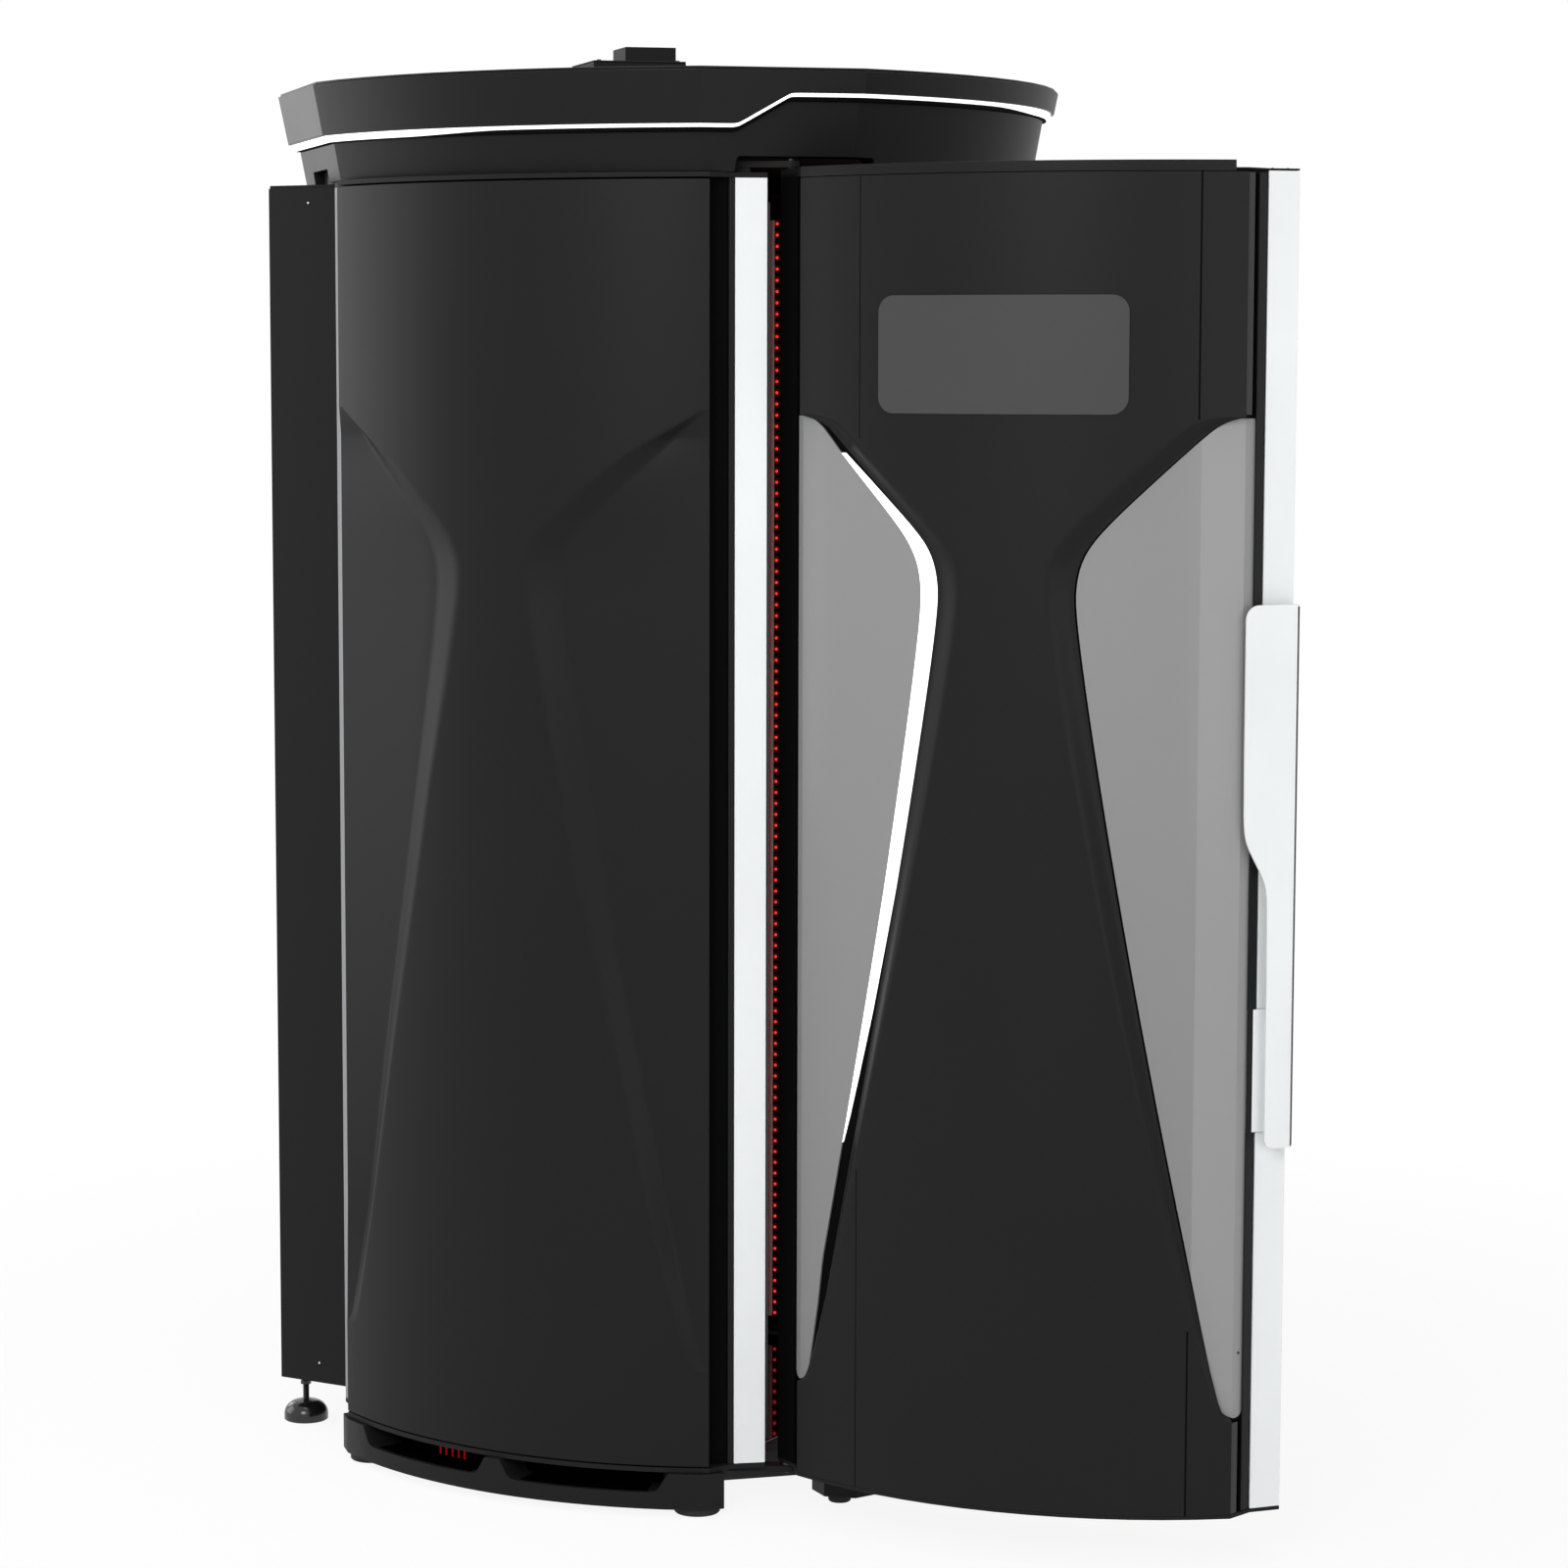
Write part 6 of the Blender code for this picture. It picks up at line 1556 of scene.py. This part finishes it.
class BOOTH_OT_plinths(bpy.types.Operator):
    """Build the two curved plinths, their vent slots with near-black sheets of painted shade inside, and
    glowing red bars of painted light behind one of them
    """
    bl_idname = "booth.plinths"
    bl_label = "Plinths"

    def execute(self, context):
        start, stop = SLOT_START + SHADE_SHEET_INSET, SLOT_STOP - SHADE_SHEET_INSET
        for name, side, hinged in (("left_plinth", LEFT, False), ("right_plinth", RIGHT, True)):
            outer, deep, back, height = plinth_rows(hinged)
            profile = ((outer, PLINTH_LOW), (outer, height), (deep, height), (deep, PLINTH_HIGH),
                       (back, PLINTH_HIGH), (back, PLINTH_LOW))
            loop = np.stack([side.at(*plan.T, z) for plan, z in profile], axis=1)
            walls = grid_faces(len(loop), 6, round_columns=True).tolist()
            caps = [list(range(6)), list(range(6 * len(loop) - 6, 6 * len(loop)))]
            make(name + "_soft", (loop, walls + caps), finish("satin_black"), "booth",
                 (name,), edge=PLINTH_EDGE)
            shade_sheets = [sheet(*(self.lining(side, np.linspace(*ends, 24)[:, None], back, lift)
                               for back, lift in zip(SHADE_SHEET_BACKS, SHADE_SHEET_LIFTS)))
                       for ends in ((start, stop), (-stop, -start))]
            # Painted shade: near-black sheets inside each slot
            make(name + "_lining", together(*shade_sheets), finish("void_black"), "booth")
        # Painted light: glowing red bars stand in for red light from the LED boards inside the left plinth's
        # slots
        edges = VENT_BAR_HALF * np.array([[-1.0], [1.0]])
        bars = [sheet(*(self.bar(angle + edges, depth) for depth in VENT_BAR_DEPTHS)) for angle in VENT_BARS]
        make("vent_bars", together(*bars), finish("vent_red"), "booth")
        return {"FINISHED"}

    @staticmethod
    def lining(side, angles, back, lift):
        """Floor and back wall of a slot's near-black sheet of painted shade, at depths behind the plinth's
        face.
        """
        depths = np.array([[SHADE_SHEET_FRONT, back, back]])
        heights = np.array([[SLOT_FLOOR + lift, SLOT_FLOOR + lift, PLINTH_HIGH - SHADE_SHEET_DROP]])
        return side.at(*arc(PLINTH_RADIUS - depths, angles), heights)

    @staticmethod
    def bar(angles, depth):
        """One face of a short upright glowing bar of painted light on the slot's back wall."""
        return LEFT.at(*arc(PLINTH_RADIUS - depth, angles), SLOT_FLOOR + np.array([VENT_BAR_SPAN]))


def plan_middle(low, high):
    """The middle of a box in plan, at the floor."""
    return np.array([0.5 * (low.x + high.x), 0.5 * (low.y + high.y), 0.0])


class BOOTH_OT_feet(bpy.types.Operator):
    """Build four levelling feet, each a domed pad, a lock nut and a threaded stud, and the plinths' pads"""
    bl_idname = "booth.feet"
    bl_label = "Levelling feet"

    def execute(self, context):
        turn = np.linspace(0.0, 0.5 * math.pi, 9)
        for node in [f"rear_{side}_foot_{end}" for side in ("left", "right") for end in ("front", "rear")]:
            low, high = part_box(node)
            place = plan_middle(low, high)
            pad = 0.5 * (high.x - low.x)
            dome = np.stack([pad - (pad - FOOT_NECK) * (1.0 - np.cos(turn)),
                             FOOT_RIM + FOOT_DOME * np.sin(turn)], axis=-1)
            rim_points = [(0.0, 0.0), (pad - FOOT_BEVEL, 0.0), (pad, FOOT_BEVEL)]
            foot = np.concatenate([rim_points, dome, FOOT_CROWN])
            thread_z = np.arange(STUD_START, high.z - STUD_SPARE, THREAD_STEP)
            groove = THREAD_DEPTH * (np.arange(len(thread_z)) % 2)
            thread = np.stack([STUD_RADIUS - groove, thread_z], axis=-1)
            stud = np.concatenate([[(0.0, STUD_START)], thread, [(STUD_RADIUS, high.z), (0.0, high.z)]])
            make(node + "_soft", moved(turned(foot, 40), place), finish("gloss_black"), "booth",
                 (node,))
            stud_and_nut = together(turned(stud, 20), turned(NUT_PROFILE, 6))
            make(node + "_stud", moved(stud_and_nut, place), finish("screw_black"), "booth")
        foot_bevel, head_bevel = PAD_BEVELS
        for node, share in PAD_SHARES.items():
            low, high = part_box(node)
            wide, top = 0.5 * share * (high.x - low.x), high.z
            pad = [(0.0, 0.0), (wide - foot_bevel, 0.0), (wide, foot_bevel), (wide, top - head_bevel),
                   (wide - head_bevel, top), (0.0, top)]
            make(node + "_soft", moved(turned(pad, 40), plan_middle(low, high)), finish("rubber_black"),
                 "booth", (node,))
        return {"FINISHED"}


class BOOTH_OT_fan(bpy.types.Operator):
    """Build the exhaust fan's wheel with twisted blades, and the guard under the ceiling"""
    bl_idname = "booth.fan"
    bl_label = "Exhaust fan"

    def execute(self, context):
        low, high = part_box("exhaust_fan")
        spin = next(joint for joint in frame["joints"] if joint["name"] == "fan_spin")
        centre = np.array([spin["pos_m"][0], spin["pos_m"][1], 0.5 * (low.z + high.z)])
        shapes = self.wheel(0.5 * (high.z - low.z), 0.5 * (high.x - low.x) - BLADE_GAP)
        make("exhaust_fan_soft", moved(together(*shapes), centre), finish("powder_black"), "fan",
             ("exhaust_fan",))
        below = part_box("ceiling_panel")[0].z - GUARD_DROP
        turn = np.linspace(0.0, 2 * math.pi, 48, endpoint=False)[:, None]
        tube = np.linspace(0.0, 2 * math.pi, 8, endpoint=False)[None, :]
        wires = []
        for radius in GUARD_RADII:
            wide = radius + GUARD_WIRE * np.cos(tube)
            parts = (centre[0] + wide * np.cos(turn), centre[1] + wide * np.sin(turn),
                     below + GUARD_WIRE * np.sin(tube))
            ring = np.stack(np.broadcast_arrays(*parts), axis=-1)
            wires.append((ring, grid_faces(48, 8, round_rows=True, round_columns=True)))
        bar = rectangle(*GUARD_BAR, -GUARD_WIRE, GUARD_WIRE)
        for angle in (45.0, 135.0, 225.0, 315.0):
            side = Side(angle, place=tuple(centre[:2]))
            wires.append(prism(bar, below - GUARD_BAR_HALF, below + GUARD_BAR_HALF, side))
        make("fan_guard", together(*wires), finish("bright_steel"), "booth")
        return {"FINISHED"}

    @staticmethod
    def wheel(thick, tip):
        """Blades round a hub: each blade's height is its share of the chord, less towards the tip."""
        reach = np.linspace(HUB_RADIUS - BLADE_ROOT, tip, 12)[:, None]
        chord = np.linspace(-0.5, 0.5, 9)[None, :]
        span = np.radians(BLADE_SPAN + BLADE_GROWTH * (reach - HUB_RADIUS) / (tip - HUB_RADIUS))
        lift = BLADE_PITCH * (thick - BLADE_WALL) * chord * (1.0 - BLADE_TWIST * (reach / tip))
        shapes = []
        for blade in range(BLADES):
            turn = 2 * math.pi * blade / BLADES + span * chord
            front = np.stack([reach * np.cos(turn), reach * np.sin(turn), lift + 0.5 * BLADE_WALL], axis=-1)
            shapes.append(sheet(front, front - (0.0, 0.0, BLADE_WALL)))
        low_bevel, high_bevel = HUB_BEVELS
        hub = [(0.0, -thick), (HUB_RADIUS - low_bevel, -thick), (HUB_RADIUS, low_bevel - thick),
               (HUB_RADIUS, thick - high_bevel), (HUB_RADIUS - high_bevel, thick), (0.0, thick)]
        return shapes + [turned(hub, 36)]


class BOOTH_OT_rear_details(bpy.types.Operator):
    """Press rows of louvres into the rear cabinets and fit the socket into the power inlet"""
    bl_idname = "booth.rear_details"
    bl_label = "Rear details"

    def execute(self, context):
        hoods, slots = [], []
        for side in (REAR_LEFT, REAR_RIGHT):
            for start in LOUVRE_STARTS:
                for z in start + LOUVRE_PITCH * np.arange(LOUVRE_COUNT):
                    hoods.append(self.bar(side, LOUVRE_HOOD, z))
                    slots.append(self.bar(side, LOUVRE_SLOT, z))
        make("rear_louvres", together(*hoods), finish("powder_black"), "booth")
        make("rear_louvre_slots", together(*slots), finish("gap_black"), "booth")
        low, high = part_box("power_inlet")
        middle = 0.5 * (low.z + high.z)
        well = rounded(rectangle(-INLET_WELL_HALF, INLET_WELL_HALF, INLET_FACE - INLET_WELL_DEPTH,
                                 INLET_FACE + INLET_WELL_PROUD), INLET_WELL_ROUND)
        make("inlet_well", prism(well, middle - INLET_WELL_RISE, middle + INLET_WELL_RISE, REAR_RIGHT),
             finish("gap_black"), "booth")
        blades = []
        for u, z in INLET_BLADES:
            blade = rectangle(u - INLET_BLADE_HALF, u + INLET_BLADE_HALF, INLET_FACE - INLET_BLADE_DEPTH,
                              INLET_FACE + INLET_BLADE_PROUD)
            foot, head = middle + z - INLET_BLADE_RISE, middle + z + INLET_BLADE_RISE
            blades.append(prism(blade, foot, head, REAR_RIGHT))
        make("inlet_blades", together(*blades), finish("bright_steel"), "booth")
        return {"FINISHED"}

    @staticmethod
    def bar(side, profile, z):
        """A bar across a cabinet: a profile of steps outward and up, carried from end to end."""
        out, up = np.array(profile).T
        ends = [side.at(u, CABINET_OUTER + out, z + up) for u in (-LOUVRE_HALF, LOUVRE_HALF)]
        faces = grid_faces(2, len(out), round_columns=True).tolist()
        return np.concatenate(ends), faces + [list(range(len(out))), list(range(len(out), 2 * len(out)))]


class BOOTH_OT_screws(bpy.types.Operator):
    """Set the screws that hold the plates, brackets, cabinets and roof fittings"""
    bl_idname = "booth.screws"
    bl_label = "Screws"

    def execute(self, context):
        up = np.array([0.0, 0.0, 1.0])
        cabinets, plates = [], []
        low, high = CABINET_BOTTOM + SCREW_INSET, CABINET_TOP - SCREW_INSET
        spots = [(u, z) for z in np.linspace(low, high, SCREW_ROWS) for u in (-SCREW_HALF, SCREW_HALF)]
        spots += [(u, z) for u in np.linspace(*CENTRE_SCREWS) for z in (low, high)]
        for side, sign in ((REAR_LEFT, 1.0), (REAR_RIGHT, -1.0)):
            plates += [(side.at(sign * CABINET_FRONT, PLATE_SCREW_OUT, z), side.way(sign, 0.0))
                       for z in (CABINET_BOTTOM + PLATE_SCREW_LOW, high)]
            cabinets += [(side.at(u, CABINET_OUTER, z), side.way(0.0, 1.0)) for u, z in spots]
        low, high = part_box("fan_housing")
        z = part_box("exhaust_duct")[0].z + HOUSING_SCREW_LIFT
        cabinets += [(np.array([x, y, z]), up)
                     for x in (low.x + HOUSING_SCREW_INSET, high.x - HOUSING_SCREW_INSET)
                     for y in (low.y + HOUSING_SCREW_INSET, high.y - HOUSING_SCREW_INSET)]
        out = on_strip(0.0, 1.0, 0.0) - on_strip(0.0, 0.0, 0.0)
        angle, height = WINDOW_SCREW
        along, bracket_z = BRACKET_SCREW
        door = [(on_strip(along, BRACKET_WING_WALL, bracket_z), out),
                (DOOR.at(*arc(SKIN_RADIUS - WINDOW_SCREW_DEPTH, angle), height), out)]
        door += [(on_strip(along, -LID_SCREW_INSET, LID_TOP), up) for along in LID_SCREWS]
        groups = (("plate_screws", plates, SMALL_SCREW, "bright_steel", "booth"),
                  ("booth_screws", cabinets, 1.0, "screw_black", "booth"),
                  ("door_screws", door, SMALL_SCREW, "screw_black", "door"))
        for name, places, share, look, body in groups:
            radius = share * context.scene.booth_sizes.screw_radius
            head, faces = turned(radius * np.array(SCREW_PROFILE), 12)
            make(name, copies(head, faces, *map(np.array, zip(*places))), finish(look), body)
        return {"FINISHED"}


class BOOTH_OT_stage(bpy.types.Operator):
    """Set the camera, the soft lamps, the pale floor and the white background"""
    bl_idname = "booth.stage"
    bl_label = "Stage"

    def execute(self, context):
        stage = context.scene.booth_stage
        camera = bpy.data.objects.new("camera", bpy.data.cameras.new("camera"))
        camera.location = stage.camera_place
        camera.rotation_euler = stage.camera_turn
        camera.data.lens = stage.camera_lens
        camera.data.sensor_width = SENSOR_WIDTH
        camera.data.shift_x = stage.camera_shift
        context.scene.collection.objects.link(camera)
        context.scene.camera = camera
        for name, place, size, power in LAMPS:
            data = bpy.data.lights.new(name, "AREA")
            data.size = size
            data.energy = power
            item = bpy.data.objects.new(name, data)
            item.location = place
            item.visible_camera = False
            aim = Vector(LAMP_AIM) - item.location
            item.rotation_euler = aim.to_track_quat("-Z", "Y").to_euler()
            context.scene.collection.objects.link(item)
        floor_mesh = bpy.data.meshes.new("floor")
        corners = rectangle(-FLOOR_REACH, FLOOR_REACH, -FLOOR_REACH, FLOOR_REACH)
        floor_mesh.from_pydata([(x, y, 0.0) for x, y in corners], [], [(0, 1, 2, 3)])
        floor = bpy.data.objects.new("floor", floor_mesh)
        floor_mesh.materials.append(floor_finish(stage.floor_colour))
        context.scene.collection.objects.link(floor)
        light_world(context.scene, stage.sky, stage.lean)
        context.scene.view_settings.view_transform = "Standard"
        return {"FINISHED"}


def floor_finish(colour_value):
    """A pale floor: it keeps the shadow near the booth and turns to plain white further out."""
    paint = Paint("pale_floor", {"Roughness": 0.9, "Specular IOR Level": 0.0})
    where = paint.place()
    grain = paint.noise(where, 30.0, 3.0)
    paint.set("Base Color", paint.blend(grain, shade(colour_value, 0.99), shade(colour_value, 1.0)))
    x, y, z = paint.axes(where)
    away = paint.ease((x * x + y * y) ** 0.5, *FLOOR_FADE)
    share = paint.seen() * (FLOOR_WHITE + (1.0 - FLOOR_WHITE) * away)
    glow = paint.node("ShaderNodeEmission", {}, {})
    pale = Wire(paint, paint.shader.outputs[0])
    mixed = paint.node("ShaderNodeMixShader", {}, {0: share, 1: pale, 2: glow})
    paint.feed(paint.first("OUTPUT_MATERIAL").inputs["Surface"], mixed)
    return paint.material


def light_world(scene, strength, lean):
    """White where it is seen, and for the rest a soft light that falls off from left to right."""
    world = bpy.data.worlds.new("soft_room")
    scene.world = world
    world.use_nodes = True
    nodes = Nodes(world.node_tree)
    background = nodes.first("BACKGROUND")
    background.inputs["Color"].default_value = (1.0, 1.0, 1.0, 1.0)
    across = nodes.axes(nodes.node("ShaderNodeTexCoord", {}, {}, "Generated"))[0]
    even = strength * (1.0 - lean * across)
    nodes.feed(background.inputs["Strength"], even + (1.0 - even) * nodes.seen())


OPERATORS = (BOOTH_OT_left_skin, BOOTH_OT_door_skin, BOOTH_OT_windows, BOOTH_OT_bare_panel, BOOTH_OT_strips,
             BOOTH_OT_door_edge, BOOTH_OT_handle, BOOTH_OT_canopy, BOOTH_OT_led_panels, BOOTH_OT_cases,
             BOOTH_OT_plinths, BOOTH_OT_feet, BOOTH_OT_fan, BOOTH_OT_rear_details, BOOTH_OT_screws,
             BOOTH_OT_stage)
GROUPS = (("booth_sizes", BoothSizes), ("booth_colours", BoothColours), ("booth_stage", BoothStage))


class BOOTH_PT_sidebar(bpy.types.Panel):
    """Lists the builders of the booth's surfaces"""
    bl_idname = "BOOTH_PT_sidebar"
    bl_label = "Light Therapy Booth"
    bl_space_type = "VIEW_3D"
    bl_region_type = "UI"
    bl_category = "Booth"

    def draw(self, context):
        for group, kind in GROUPS:
            box = self.layout.box()
            for name in kind.__annotations__:
                box.prop(getattr(context.scene, group), name)
        for operator in OPERATORS:
            self.layout.operator(operator.bl_idname)


def register():
    """Add the properties, the operators and the sidebar."""
    for group, kind in GROUPS:
        bpy.utils.register_class(kind)
        setattr(bpy.types.Scene, group, PointerProperty(type=kind))
    for kind in OPERATORS + (BOOTH_PT_sidebar,):
        bpy.utils.register_class(kind)


def unregister():
    """Take the sidebar, the operators and the properties away."""
    for kind in (BOOTH_PT_sidebar,) + OPERATORS[::-1]:
        bpy.utils.unregister_class(kind)
    for group, kind in GROUPS[::-1]:
        delattr(bpy.types.Scene, group)
        bpy.utils.unregister_class(kind)


def main():
    """Register the add-on and build every group of pieces."""
    register()
    for operator in OPERATORS:
        getattr(bpy.ops.booth, operator.bl_idname.split(".")[1])()


if __name__ == "__main__":
    main()
